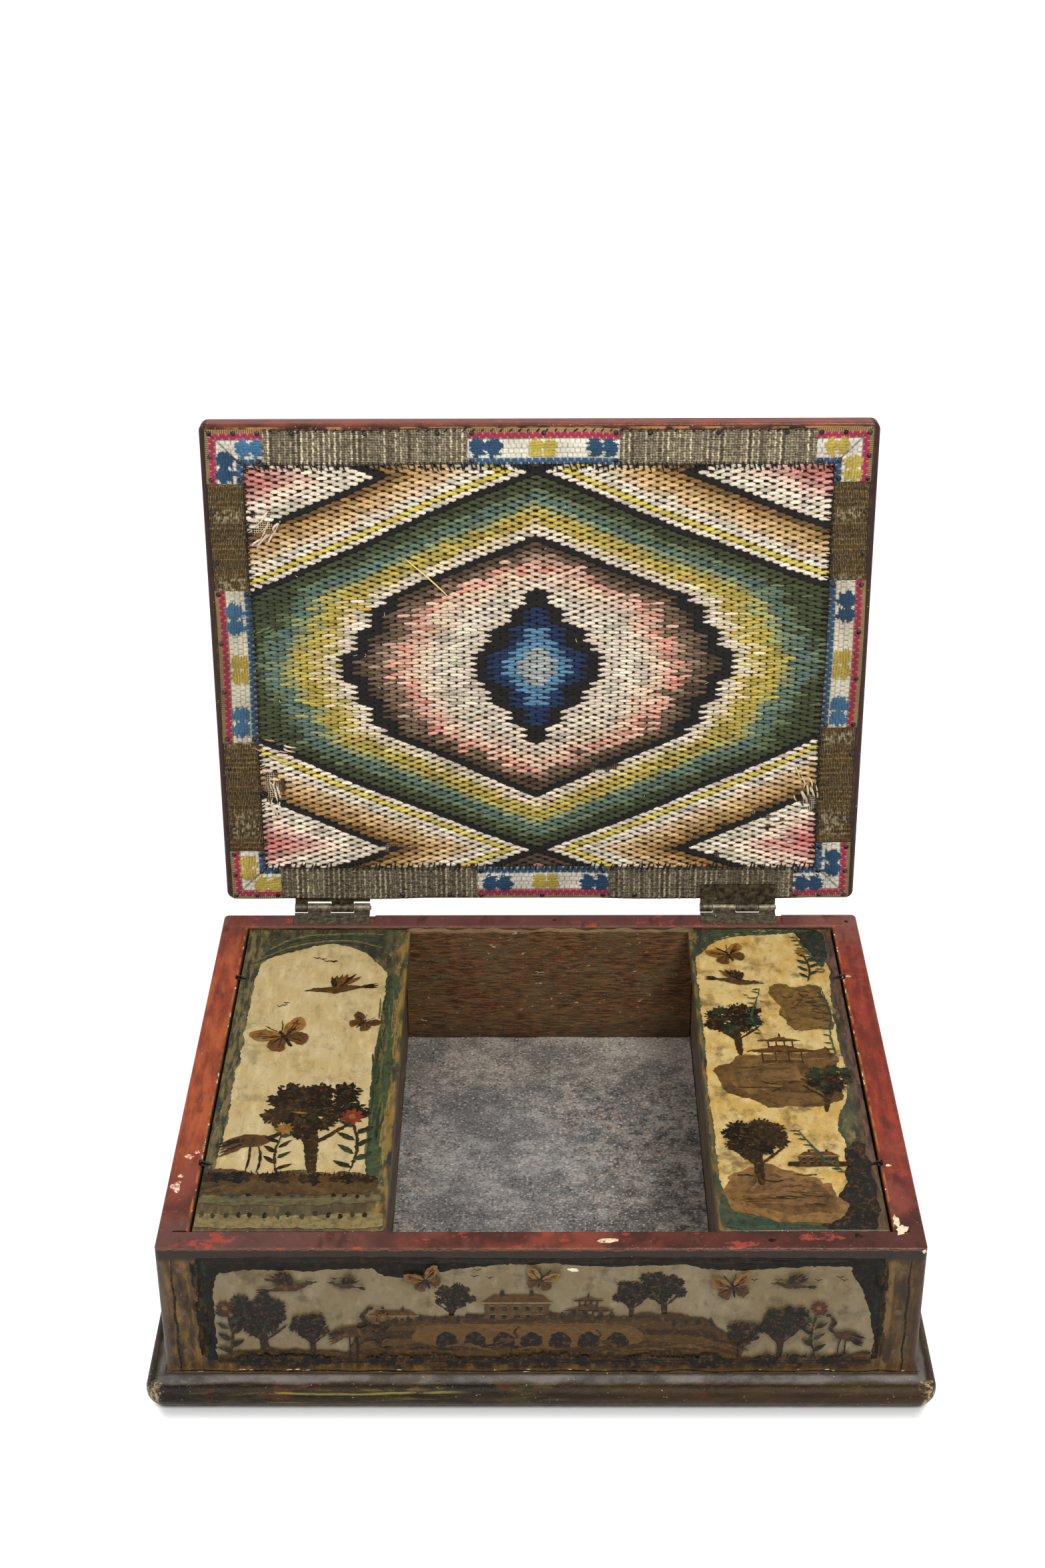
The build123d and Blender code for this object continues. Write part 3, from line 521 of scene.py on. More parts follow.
def canvas_weave():
    """The canvas under the stitches, dark between them for painted shade, and pale where they are gone."""
    g = Finish("canvas")
    phases = [g.times(g.along(direction, PIN), 2 * math.pi / CANVAS_THREAD)
              for direction in ((1, 0, 0), ALONG)]
    threads = g.larger(*[g.scale_range(g.math("SINE", phase), 0.5, 1.0) for phase in phases])
    # Covered threads and the holes between threads are dark: painted shade under the stitches. Bare threads
    # are pale.
    thread = g.mix(g.attribute("bare", "Fac"), g.mix(g.noise(7, 3), "#4f3722", "#2c1c12"),
                   g.mix(g.noise(1.2, 3), "#a58c66", "#e3d3b3"))
    colour = g.mix(g.fade(threads, 0.72, 0.9), "#21150d", thread)
    return g.surface(colour, 0.9, threads, 0.4, Specular_IOR_Level=0.2)


def woven_ribbon():
    """Ribbon: the tint of the weave with fine threads across it."""
    g = Finish("ribbon")
    weave = g.attribute("weave", "Vector")
    across = g.noise(0.34, 3, (0.8, 5, 1), rough=0.6, place=weave)
    lengthwise = g.noise(0.3, 3, (4, 0.7, 1), 5, 0.6, weave)
    threads = g.plus(g.times(across, 0.5), g.times(lengthwise, 0.5))
    colour = g.lightened(g.attribute("tint"), g.scale_range(g.fade(threads, 0.36, 0.62), 0.66, 1.18))
    return g.surface(colour, 0.7, threads, 0.28, Specular_IOR_Level=0.3, Sheen_Weight=0.1)


def galloon_metal():
    """Tarnished gilt galloon: fine wrapped threads along its length, with painted glints on their crests."""
    g = Finish("galloon")
    tint = g.attribute("tint")
    weave = g.attribute("weave", "Vector")
    across = g.node("SeparateXYZ", (weave,)).outputs["Y"]
    drift = g.times(g.noise(2.6, 2, (1, 0.4, 1), place=weave), 5.0)
    phase = g.plus(g.times(across, 2 * math.pi / GALLOON_THREAD), drift)
    lines = g.scale_range(g.math("SINE", phase), 0.5, 1.0)
    broken = g.noise(0.6, 3, (3.2, 0.8, 1), 3, 0.65, weave)
    colour = g.over(tint, "#1f1710", g.fade(lines, 0.7, 0.5), 0.6)
    colour = g.over(colour, "#2a2015", g.fade(broken, 0.46, 0.36), 0.55)
    # Paler where the thread crests are unbroken: painted glints on the gilt.
    bright = g.times(g.fade(lines, 0.62, 0.95), g.fade(broken, 0.42, 0.6))
    colour = g.over(colour, g.mix(0.4, tint, "#e8dcbc"), bright, 0.5)
    relief = g.plus(g.times(lines, 0.6), g.times(broken, 0.4))
    rough = g.scale_range(broken, 0.45, 0.7)
    return g.surface(colour, rough, relief, 0.3, Metallic=0.1, Specular_IOR_Level=0.22)


def iron(name, dark, light, rust, metallic):
    """Old metal, browned, with lighter worn places and rust."""
    g = Finish(name)
    patina = g.noise(2.6, 6, seed=2, rough=0.65)
    colour = g.mix(g.fade(patina, 0.36, 0.66), dark, light)
    colour = g.over(colour, rust, g.spots(0.56, 0.7, 1.7, 5, seed=5), 0.55)
    rough = g.scale_range(g.noise(1.4, 4, seed=7), 0.26, 0.6)
    return g.surface(colour, rough, g.plus(patina, g.noise(0.5, 3)), 0.12, Metallic=metallic)


def chalk():
    """Gesso and bare wood where the paint has chipped."""
    g = Finish("gesso_chips")
    colour = g.mix(g.spots(0.4, 0.62, 1.3, 4), g.attribute("tint"), "#e2d5b8")
    return g.surface(colour, 0.8, g.noise(0.7, 4, seed=3), 0.25, Specular_IOR_Level=0.3)


# Meshes

# The kind of an attribute, and the name of its values, by their number at each point.
KINDS = {4: ("FLOAT_COLOR", "color"), 3: ("FLOAT_VECTOR", "vector"), 1: ("FLOAT", "value")}


def make_mesh(name, points, faces, smooth=True, **attributes):
    """A mesh object from points in millimetres, with one value of each attribute for every point."""
    mesh = bpy.data.meshes.new(name)
    mesh.from_pydata((np.asarray(points, float) * MM).tolist(), [], faces)
    for key, values in attributes.items():
        values = np.asarray(values, np.float32)
        kind, field = KINDS[1 if values.ndim == 1 else values.shape[1]]
        mesh.attributes.new(key, kind, "POINT").data.foreach_set(field, values.ravel())
    mesh.polygons.foreach_set("use_smooth", [smooth] * len(mesh.polygons))
    obj = bpy.data.objects.new(name, mesh)
    bpy.context.scene.collection.objects.link(obj)
    return obj


def add_piece(obj, body, material):
    """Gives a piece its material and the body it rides."""
    obj.data.materials.append(material)
    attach(obj, body)
    return obj


def dress(material, *nodes):
    """Gives CAD nodes their material."""
    for name in nodes:
        obj = frame["nodes"][name]
        if not obj.material_slots:
            obj.data.materials.append(material)
        for slot in obj.material_slots:
            slot.material = material


class Bundle:
    """Many small meshes gathered into one."""

    def __init__(self):
        self.points, self.faces, self.extra = [], [], {}
        self.count = 0

    def add(self, points, faces, **extra):
        """Adds a mesh. Each extra is one value for all its points, or one for each."""
        points = np.asarray(points, float)
        self.points.append(points)
        self.faces += [[k + self.count for k in face] for face in faces]
        for key, value in extra.items():
            value = np.broadcast_to(value, (len(points), np.shape(value)[-1]))
            self.extra.setdefault(key, []).append(value)
        self.count += len(points)

    def make(self, name, smooth=True):
        """The object of all meshes so far."""
        extra = {key: np.concatenate(values) for key, values in self.extra.items()}
        return make_mesh(name, np.concatenate(self.points), self.faces, smooth, **extra)


# A tube's girth at its ends, as a share of that in its middle.
TIP_GIRTH = 0.35


def ring_faces(rings, sides):
    """Quads between rings of points, one ring after the other."""
    pairs = [(j, (j + 1) % sides) for j in range(sides)]
    return [[k + a, k + b, k + sides + b, k + sides + a]
            for k in range(0, (rings - 1) * sides, sides) for a, b in pairs]


def tube(path, radius, sides=5):
    """A thin tube along a path of points, thinner at its ends."""
    path = np.asarray(path, float)
    steps = np.gradient(path, axis=0)
    steps /= np.linalg.norm(steps, axis=1)[:, None]
    helper = np.array([0.31, 0.52, 0.79])
    side = np.cross(steps, helper)
    side /= np.linalg.norm(side, axis=1)[:, None]
    other = np.cross(steps, side)
    share = np.linspace(-1, 1, len(path))
    girth = radius * (1 - (1 - TIP_GIRTH) * np.abs(share) ** 4)
    turns = np.arange(sides) * 2 * math.pi / sides
    rings = (path[:, None] + girth[:, None, None] * (np.cos(turns)[None, :, None] * side[:, None]
                                                     + np.sin(turns)[None, :, None] * other[:, None]))
    faces = ring_faces(len(path), sides)
    faces.append(list(range(sides))[::-1])
    faces.append([(len(path) - 1) * sides + j for j in range(sides)])
    return rings.reshape(-1, 3), faces


# Needlework: flame stitch worked in horizontal stitches, column by column

# From column to column and from row to row. Every second column lies half a row higher.
COLUMN = 3.6
ROW = 3.0
HALF_ROW = ROW / 2
# How steep the bands are above and below the middle figure, and on its sides.
SLOPE = HALF_ROW / COLUMN
STEEP = 1.64
# The middle figure's centre in x and s, and the field inside the braids.
MOTIF = (-1.4, 131.5)
FIELD_X = 138.6
FIELD_S = (22.6, 234.4)
DYES = {
    "pale": "#969a95", "sky": "#527a94", "royal": "#172a4b", "black": "#13110e", "cream": "#c8b8a4",
    "white": "#cfc3ae", "warm": "#d0b497", "blush": "#cfa993", "coral": "#c67f6a", "taupe": "#705a46",
    "brown": "#463828", "butter": "#c8b884", "mustard": "#aa9642", "sage": "#8f9464", "teal": "#52685c",
    "moss": "#5f6c4b", "green": "#393f25", "yellow": "#c2b04d", "buff": "#c9ad82", "tan": "#bc9965",
    "ochre": "#96723f", "bark": "#5f4526", "pink": "#e7cfb7", "rose": "#c99386", "crimson": "#b6675f",
}
# Half rows from the middle figure outwards, each with the dye reached there. Dyes pass into each other,
# except across the edges named in SHARP.
SHADES = [
    (0, "cream"), (17, "cream"), (24, "white"), (29, "cream"), (33, "warm"), (35, "blush"), (36.6, "coral"),
    (37.6, "blush"), (38.6, "taupe"), (40, "taupe"), (41.7, "brown"), (42.4, "brown"), (42.6, "black"),
    (44.4, "black"), (44.6, "white"), (47.2, "cream"), (49, "butter"), (50.4, "mustard"), (53.2, "mustard"),
    (54.8, "sage"), (57, "teal"), (58.6, "teal"), (60.4, "moss"), (62.2, "green"), (64.4, "green"),
    (64.6, "black"), (66.5, "black"), (66.7, "white"), (69.4, "white"), (69.7, "yellow"), (71.1, "yellow"),
    (71.3, "white"), (74, "white"), (76, "buff"), (79.5, "tan"), (82.5, "ochre"), (84.4, "bark"),
    (84.6, "black"), (86.5, "black"), (86.7, "white"), (91, "white"), (94, "pink"), (98, "rose"),
    (103, "crimson"), (200, "crimson"),
]
SHARP = np.array([0, 42.5, 44.5, 64.5, 66.6, 69.6, 71.2, 84.5, 86.6, 200])
BLACK_ROWS = [(42.5, 44.5), (64.5, 66.6), (84.5, 86.6)]
# How far the dyes of neighbouring stitches stray, in half rows: in the outer bands, and in the steep ones
# and all that are nearer than half row MIXED_WITHIN.
MIXING, MIXED_WITHIN = (0.45, 1.1), 42
# The last half row that goes all the way round the middle.
ALL_ROUND = 64.0
# On the sides the bands are wider: millimetres from the middle to each tip, and its half row.
BLUNT = 5.0
SIDE_TIPS = [(0, 0), (31, 18), (46, 25), (59, 33.5), (66, 36.2), (72, 38.5), (79, 40.6), (85.5, 42.5),
             (93.4, 44.5), (99.5, 47.5), (106, 49.5), (118, 53.5), (124, 55.5), (131, 58.5),
             (142, 63.5), (150, 67)]
# The middle figure: how far each dye reaches up and down, in its middle column and in each one to the side.
HEART = [("black", (39.5, 38.0, 33.0, 30.5, 22.5, 21.5, 19.5, 11.0, 8.8)),
         ("royal", (30.7, 29.0, 22.5, 20.4, 11.0, 8.0, 6.5)),
         ("sky", (20.9, 20.0, 13.5, 8.5, 5.5)), ("pale", (9.5, 8.0, 5.0))]
# Farther than this above or below the middle figure, the bands turn back.
FOLD = 99.0


def band_level(dx, dy, column):
    """The half row a stitch belongs to, counted from the middle, and whether the bands are steep there."""
    up = np.where(np.abs(dy) > FOLD, 2 * FOLD - np.abs(dy), np.abs(dy))
    shallow = (up + SLOPE * np.abs(dx)) / HALF_ROW
    pair = (np.abs(column) + 1) // 2
    stepped = np.where(pair == 0, 0, 1.6 * pair - 0.4 + 0.2 * np.abs(column)) * COLUMN
    tips, rows = np.array(SIDE_TIPS, float).T
    steep = np.interp(stepped + np.clip(np.abs(dy) - BLUNT, 0, None) / STEEP, tips, rows)
    steep = np.minimum(steep, ALL_ROUND)
    return np.maximum(shallow, steep), steep > shallow


def stitch_dyes(dx, dy, column, rng):
    """Each stitch's dye, whether it is black, and whether it is a long one (sides and middle)."""
    level, steep = band_level(dx, dy, column)
    part = np.clip(np.searchsorted(SHARP, level), 1, len(SHARP) - 1)
    spread = np.where(steep | (level < MIXED_WITHIN), MIXING[1], MIXING[0])
    mixed = np.clip(level + rng.normal(0, 1, len(level)) * spread, SHARP[part - 1] + 0.1, SHARP[part] - 0.1)
    stops = np.array([stop[0] for stop in SHADES], float)
    shades = np.array([linear(DYES[stop[1]]) for stop in SHADES])
    dye = np.stack([np.interp(mixed, stops, shades[:, k]) for k in range(4)], -1)
    black = np.any([(level > low) & (level < high) for low, high in BLACK_ROWS], axis=0)
    for name, reaches in HEART:
        inside = np.abs(dy) < np.pad(reaches, (0, 99))[np.abs(column)]
        dye[inside] = linear(DYES[name])
        black = np.where(inside, name == "black", black)
        steep = steep | inside
    beyond = (np.abs(dy) > FOLD) & (level < ALL_ROUND + 0.4)
    dye[beyond & (level > 61)] = linear(DYES["brown"])
    dye[beyond & (level <= 61)] = linear(DYES["coral"])
    return dye, black, steep | (level < 18)


def stitch_template():
    """Half a yarn that lies on the canvas, drawn in at its middle. Its sizes are 1."""
    arc, rings, girths = 5, (-0.88, -0.5, 0.0, 0.5, 0.88), (0.68, 1.0, 0.84, 1.0, 0.68)
    points = [(-1, 0, 0)]
    for along, girth in zip(rings, girths):
        for k in range(arc):
            turn = math.pi * k / (arc - 1)
            points.append((along, girth * math.cos(turn), girth * math.sin(turn)))
    points.append((1, 0, 0))
    faces = []
    last = len(points) - 1
    for k in range(arc - 1):
        faces.append([0, 2 + k, 1 + k])
        faces.append([last, last - arc + k, last - arc + k + 1])
        for ring in range(len(rings) - 1):
            a = 1 + ring * arc + k
            faces.append([a, a + 1, a + 1 + arc, a + arc])
    return np.array(points, float), faces


# Places where stitches have worn away: x, s, half width, half height and the share that is gone.
WORN = [(-75, 34, 5, 3, 0.35), (-48, 164, 8, 5, 0.12), (30, 78, 14, 3, 0.12), (112, 50, 12, 5, 0.3),
        (-130, 205, 6, 8, 0.7), (-132, 68, 5, 8, 0.8), (134, 60, 4, 7, 0.6), (96, 30, 10, 3, 0.15)]


def wear(x, s):
    """How worn the needlework is at each place, from 0 to 1."""
    amount = np.zeros_like(x)
    for wx, ws, half_x, half_s, share in WORN:
        reach = ((x - wx) / half_x) ** 2 + ((s - ws) / half_s) ** 2
        amount = np.maximum(amount, np.where(reach < 1, share * (1 - 0.4 * reach), 0))
    return amount


def field_columns():
    """Places and columns of all stitches in the field."""
    reach = int(FIELD_X / COLUMN) + 1
    columns = np.arange(-reach, reach + 1)
    rows = np.arange(-int(125 / ROW), int(125 / ROW) + 1)
    column, row = (grid.ravel() for grid in np.meshgrid(columns, rows, indexing="ij"))
    x = MOTIF[0] + column * COLUMN
    s = MOTIF[1] + (row + 0.5 * (column % 2)) * ROW
    placed = s + pulled(x - MOTIF[0], s - MOTIF[1])
    inside = (np.abs(x) < FIELD_X) & (placed > FIELD_S[0]) & (placed < FIELD_S[1])
    return x[inside], s[inside], column[inside]


def crooked(x, s):
    """Small drifts of hand work, in millimetres."""
    sideways = 0.5 * np.sin(s / 21 + 1) + 0.3 * np.sin(x / 17 + s / 31)
    return sideways, 0.6 * np.sin(x / 29 + 2) + 0.3 * np.sin(x / 11)


def pulled(dx, dy):
    """How far the canvas was pulled up when it was nailed on, from the middle figure's centre."""
    outward = (dx / 135) ** 2
    to_middle = np.clip(dy / 45, -1, 1) * np.where(dx < 0, 4.0, 2.2) * outward
    rising = np.where(dx > 0, 2.8, 0.0) * outward
    shoulders = 1.25 * np.exp(-((np.abs(dx) - 75) / 35) ** 2 - (dy / 50) ** 2)
    foot = 2.4 * np.exp(-(dx / 35) ** 2 - ((dy + 66) / 22) ** 2)
    return rising - to_middle + shoulders - foot


# Length, width and height of black stitches, long ones and short ones, and how far each of the three varies.
BLACK_STITCH, LONG_STITCH, SHORT_STITCH = (6.4, 3.2, 1.3), (6.8, 2.1, 1.5), (5.7, 2.3, 1.5)
STITCH_VARIES = (0.05, 0.08, 0.09)


def placed_stitches(rng):
    """Every stitch's place, its half length, half width and height, its slant and its dye."""
    x, s, column = field_columns()
    dye, black, long = stitch_dyes(x - MOTIF[0], s - MOTIF[1], column, rng)
    s = s + pulled(x - MOTIF[0], s - MOTIF[1])
    kept = rng.random(len(x)) > wear(x, s)
    x, s, dye, black, long = (values[kept] for values in (x, s, dye, black, long))
    count = len(x)
    length, width, height = (
        np.where(black, dark, np.where(long, longer, shorter)) * rng.normal(1, varies, count)
        for dark, longer, shorter, varies in zip(BLACK_STITCH, LONG_STITCH, SHORT_STITCH, STITCH_VARIES))
    border = np.minimum(FIELD_X - np.abs(x), np.minimum(s - FIELD_S[0], FIELD_S[1] - s))
    height *= np.clip(0.55 + border / 9, 0.55, 1)
    slant = rng.normal(0, 4, count) + np.where(long, -1, 2) * np.sign((x - MOTIF[0]) * (s - MOTIF[1]))
    drift_x, drift_s = crooked(x, s)
    x = x + drift_x + rng.normal(0, 0.14, count)
    s = s + drift_s + rng.normal(0, 0.12, count)
    return x, s, (length / 2, width / 2, height), np.radians(slant)[:, None], dye


def needlework():
    """The needlework: all stitches as one piece."""
    rng = np.random.default_rng(11)
    x, s, sizes, slant, dye = placed_stitches(rng)
    count = len(x)
    template, faces = stitch_template()
    along, across, up = (template[None, :, k] * size[:, None] for k, size in enumerate(sizes))
    turned_x = x[:, None] + along * np.cos(slant) - across * np.sin(slant)
    turned_s = s[:, None] + along * np.sin(slant) + across * np.cos(slant)
    points = on_lid(np.clip(turned_x, -FIELD_X, FIELD_X), np.clip(turned_s, *FIELD_S), CANVAS_N + 0.02 + up)
    dye[:, :3] *= np.clip(rng.normal(1.08, 0.17, (count, 1)), 0.62, 1.42)
    dye[:, :3] *= rng.normal(1, 0.025, (count, 3))
    # Darker towards where each stitch meets the canvas: painted shade in the crevices between stitches,
    # carried in the dye attribute.
    sunk = 0.42 + 0.58 * np.clip(template[:, 2] * 2.0, 0, 1)
    dye = dye[:, None, :] * np.stack([sunk, sunk, sunk, np.ones_like(sunk)], -1)[None]
    offsets = (np.arange(count) * len(template))[:, None]
    all_faces = []
    for corners in (4, 3):
        shape = np.array([face for face in faces if len(face) == corners])
        all_faces += (shape.reshape(1, -1) + offsets).reshape(-1, corners).tolist()
    spread = rng.random((count, 1)) * 400
    yarn = np.stack([along + spread, across + spread * 0.7, up], -1)
    obj = make_mesh("flame_stitches", points.reshape(-1, 3), all_faces, True,
                    dye=dye.reshape(-1, 4), yarn=yarn.reshape(-1, 3))
    return add_piece(obj, "main_lid", wool())


def grid_faces(across, down, keep=None):
    """Quads of a grid of points with across points in each of down rows."""
    return [[j * across + k, j * across + k + 1, (j + 1) * across + k + 1, (j + 1) * across + k]
            for j in range(down - 1) for k in range(across - 1) if keep is None or keep[j, k]]


def canvas():
    """The canvas under the stitches, which takes the place of the CAD panel."""
    xs = np.linspace(-FIELD_X, FIELD_X, 140)
    ss = np.linspace(FIELD_S[0], FIELD_S[1], 108)
    x, s = np.meshgrid(xs, ss)
    bare = np.clip(wear(x, s) * 2.2, 0, 1)
    lift = 0.05 * np.sin(x / 13) * np.sin(s / 17)
    points = on_lid(x, s, CANVAS_N + lift).reshape(-1, 3)
    obj = make_mesh("needlework_canvas", points, grid_faces(len(xs), len(ss)), True, bare=bare.ravel())
    add_piece(obj, "main_lid", canvas_weave())
    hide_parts("needlework_panel")
    return obj


# Where yarns fray: x, s, their dyes, how far they reach in x and in s, and their number.
TUFTS = [(-128, 205, ("cream", "pink", "warm"), -4.5, -6.0, 16),
         (-131, 66, ("pink", "brown", "cream"), 1.5, -7.0, 18),
         (133, 62, ("cream", "brown", "butter"), -2.0, 6.5, 16),
         (-134, 152, ("green", "moss", "green"), 7.0, 3.0, 14), (-133, 86, ("cream", "rose"), 5.0, -2.0, 9),
         (120, 44, ("cream", "warm"), 6.0, 1.0, 12)]


def loose_ends():
    """Frayed yarns at the worn edges and the one long gilt thread."""
    rng = np.random.default_rng(5)
    bundle = Bundle()

    def yarn(x, s, reach_x, reach_s, lift, dye, radius):
        share = np.linspace(0, 1, 6)
        arch = np.sin(share * math.pi)
        path = on_lid(x + reach_x * share + rng.normal(0, 0.8) * arch, s + reach_s * share,
                      CANVAS_N + 0.5 + lift * arch)
        points, faces = tube(path, radius)
        shade = np.array(linear(dye)) * np.array([*[rng.normal(1, 0.1)] * 3, 1])
        bundle.add(points, faces, dye=shade, yarn=(rng.random() * 50, 0, 0))

    for x, s, dyes, reach_x, reach_s, number in TUFTS:
        for k in range(number):
            yarn(x + rng.normal(0, 3.2), s + rng.normal(0, 5.0), reach_x * rng.normal(1, 0.25),
                 reach_s * rng.normal(1, 0.25), abs(rng.normal(0.7, 0.35)), DYES[dyes[k % len(dyes)]],
                 rng.uniform(0.3, 0.62))
    for _ in range(60):
        x, s, turn = rng.uniform(-130, 130), rng.uniform(28, 228), rng.uniform(0, 2 * math.pi)
        yarn(x, s, 2.8 * math.cos(turn), 2.8 * math.sin(turn), 0.9, "#e6dcc6", 0.09)
    share = np.linspace(0, 1, 14)
    path = on_lid(-64 + 20.2 * share + 0.9 * np.sin(share * 3), 188.1 - 19.2 * share,
                  0.55 + 0.75 * np.sin(share * math.pi))
    bundle.add(*tube(path, 0.36, 6), dye=linear("#d9c27c"), yarn=(3, 0, 0))
    return add_piece(bundle.make("loose_yarns"), "main_lid", FINISHES["wool"])


# Ribbons and galloons

# Where the ribbon's crimson, cream and blue bands start and end across it, after its selvage.
CRIMSON, CREAM, BLUE = (1.6, 5.0), (5.0, 14.3), (14.3, 17.5)


def knots(t, v, middle, period):
    """Two staggered rows of plump floats about a middle line: height from 0 to 1."""
    rows = [1.25 - (((t / period + shift) % 1 - 0.5) / 0.42) ** 2 - ((v - middle + side) / 1.15) ** 2
            for shift, side in ((0, 0.8), (0.5, -0.8))]
    return np.clip(np.maximum(*rows), 0, 1)


def basket(t, v):
    """Cream ground in basket weave: height from 0 to 1."""
    column = np.floor(v / 2.3)
    along = (t / 2.4 + 0.5 * (column % 2)) % 1
    across = (v / 2.3) % 1
    return np.clip(np.minimum(np.minimum(along, 1 - along) * 5, np.minimum(across, 1 - across) * 6), 0, 1)


def lobes(t, v, spots):
    """Velvet spots of two lobes each: how far inside, from 0 to 1, and the spot's number."""
    inside = np.zeros_like(t)
    number = np.zeros_like(t, int) - 1
    for index, (centre, middle, long_side, dye) in enumerate(spots):
        for shift in (-long_side * 0.25, long_side * 0.25):
            thread = np.floor(v / 1.0) * 12.9898 + np.floor((t - centre - shift) / 60) * 78.233 + index
            ragged = 0.8 * ((np.sin(thread) * 43758.5453) % 1 - 0.4) + 0.06 * np.sin(t * 5.3)
            reach = ((t - centre - shift) / (long_side * 0.32)) ** 2 + ((v - middle) / 5.1) ** 2 + ragged
            number = np.where((reach < 1) & (1 - reach > inside), index, number)
            inside = np.maximum(inside, np.clip(1 - reach, 0, 1))
    return inside, number


def ribbon_weave(t, v, spots, rng):
    """Height above the canvas and colour of a ribbon at t along it and v from its outer edge."""
    colour = np.zeros(t.shape + (4,))

    def paint(mask, dark, light, share):
        mixed = np.array(linear(dark)) * (1 - share[..., None]) + np.array(linear(light)) * share[..., None]
        colour[mask] = mixed[mask]

    selvage = v < CRIMSON[0]
    ribs = np.abs(np.sin(math.pi * t / 1.0))
    paint(selvage, "#4e3b22", "#a48a58", ribs)
    height = np.where(selvage, 0.62 + 0.18 * ribs, 0.0)
    crimson = (v >= CRIMSON[0]) & (v < CRIMSON[1])
    braid = knots(t, v, 3.2, 3.3)
    paint(crimson, "#a99a80", "#9c2443", np.clip(braid * 4, 0, 1))
    height = np.where(crimson, 0.72 + 0.45 * braid, height)
    ground = (v >= CREAM[0]) & (v < CREAM[1])
    bricks = basket(t, v - CREAM[0])
    paint(ground, "#8a7b60", "#ded7c8", np.clip(bricks * 1.5, 0, 1))
    height = np.where(ground, 0.72 + 0.18 * bricks, height)
    blue = v >= BLUE[0]
    edge = knots(t, v, 15.9, 3.3)
    paint(blue, "#b5aa94", "#284e70", np.clip(edge * 4, 0, 1))
    height = np.where(blue, 0.7 + 0.34 * edge, height)
    inside, number = lobes(t, v, spots)
    ridges = 0.5 + 0.5 * np.sin(2 * math.pi * v / 1.4 + np.sin(t / 2.3))
    pile = np.clip(ridges * 0.55 + rng.random(t.shape) * 0.55 - 0.05, 0, 1)
    bald = (rng.random(t.shape) < 0.6) & (inside < 0.2)
    for index, spot in enumerate(spots):
        paint((number == index) & (inside > 0.02) & ~bald, spot[3][0], spot[3][1], pile)
    height = np.where(inside > 0.02, 0.95 + 0.5 * np.sqrt(inside) + 0.12 * ridges, height)
    soiled = 0.86 + 0.14 * np.sin(t / 5.1 + np.sin(v / 2.7)) * np.cos(v / 4.3 + t / 9.1)
    colour[..., :3] *= soiled[..., None]
    return height, colour


def galloon_weave(t, v, dark, bright, rng):
    """Height and colour of a gilt galloon: broken light ribs, dark edges, and flecks on a dark one."""
    pitch, beat = 1.3, 1.2
    place = t / pitch + 0.12 * np.sin(v * 1.7)
    index = np.floor(place).astype(int)
    index -= index.min()
    rib = rng.random(index.max() + 1)
    tone = np.where(np.arange(len(rib)) % 2, 0.05 + 0.4 * rib, 0.3 + 0.95 * rib)[index]
    row = np.floor(v / beat + 0.5 * (index % 2)).astype(int)
    patch = rng.random((index.max() + 1, row.max() + 1))[index, row]
    ribs = np.clip(1.35 - np.abs(place % 1 - 0.5) / 0.36, 0, 1) * tone * (0.25 + 1.1 * patch)
    base = np.array(linear("#3c2a0a" if dark else "#3a2a17"))
    light = np.array(linear("#a07c30" if dark else "#fbeabf"))
    colour = base + (light - base) * (ribs * (0.62 if dark else 1.0))[..., None]
    if dark:
        worked = np.clip(np.sin(t / 6.3 + 1.1 * np.sin(t / 17)) * 3 - 1.9, 0, 1)
        worked = worked * (patch > 0.62) * (np.abs(v - 8.7) < 6.4)
        colour = colour + (np.array(linear("#b5aa88")) - colour) * (0.7 * worked)[..., None]
    edge = np.clip(1.25 - np.minimum(v, TRIM_WIDTH - v) / 0.9, 0, 1)
    colour = colour + (np.array(linear("#1c160f")) - colour) * (0.8 * edge)[..., None]
    colour[..., :3] *= bright
    height = 0.74 + 0.3 * ribs + 0.08 * rng.random(t.shape) - 0.25 * edge
    return height, colour


def lay(name, p, q, keep, to_lid, weave, slot):
    """Lays a braid on the lid. p and q run along and across it, and its border turns down to the canvas in
    painted shade.
    """
    grid_p, grid_q = np.meshgrid(p, q)
    t, v, height, colour = weave(grid_p, grid_q)
    faces = grid_faces(len(p), len(q), keep)
    used = {}
    for face in faces:
        for a, b in zip(face, face[1:] + face[:1]):
            used[(a, b)] = used.get((a, b), 0) + 1
    border = [edge for edge in used if (edge[1], edge[0]) not in used]
    rim = sorted({k for edge in border for k in edge})
    x, s = to_lid(grid_p.ravel(), grid_q.ravel())
    drift_x, drift_s = crooked(x, s)
    wave = 0.1 * np.sin(x / 6 + s / 9)
    points = on_lid(x + drift_x * 0.7, s + drift_s * 0.7, CANVAS_N + height.ravel() + wave)
    low = {k: len(points) + index for index, k in enumerate(rim)}
    sunk = points[rim] - (height.ravel()[rim] + wave[rim] - 0.02)[:, None] * OUT
    faces += [[b, a, low[a], low[b]] for a, b in border]
    weave_place = np.stack([t.ravel(), v.ravel(), 0 * t.ravel()], -1)
    colours = colour.reshape(-1, 4)
    # The border's lower points take half the colour: painted shade down the braid's edges.
    obj = make_mesh(name + "_cloth", np.concatenate([points, sunk]), faces, True,
                    tint=np.concatenate([colours, colours[rim] * [0.5, 0.5, 0.5, 1]]),
                    weave=np.concatenate([weave_place, weave_place[rim]]))
    add_piece(obj, "main_lid", FINISHES[slot])
    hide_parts(name)
    size = (float(np.ptp(p)) * MM, float(np.ptp(q)) * MM)
    return obj


# From places along and across a braid to x and s on the lid.
SIDES = {
    "top": lambda t, v: (t, TRIM_S[1] - v), "bottom": lambda t, v: (t, TRIM_S[0] + v),
    "left": lambda t, v: (v - TRIM_X, t), "right": lambda t, v: (TRIM_X - v, t),
}
# From point to point of a braid's mesh, along it.
GRID = 0.5
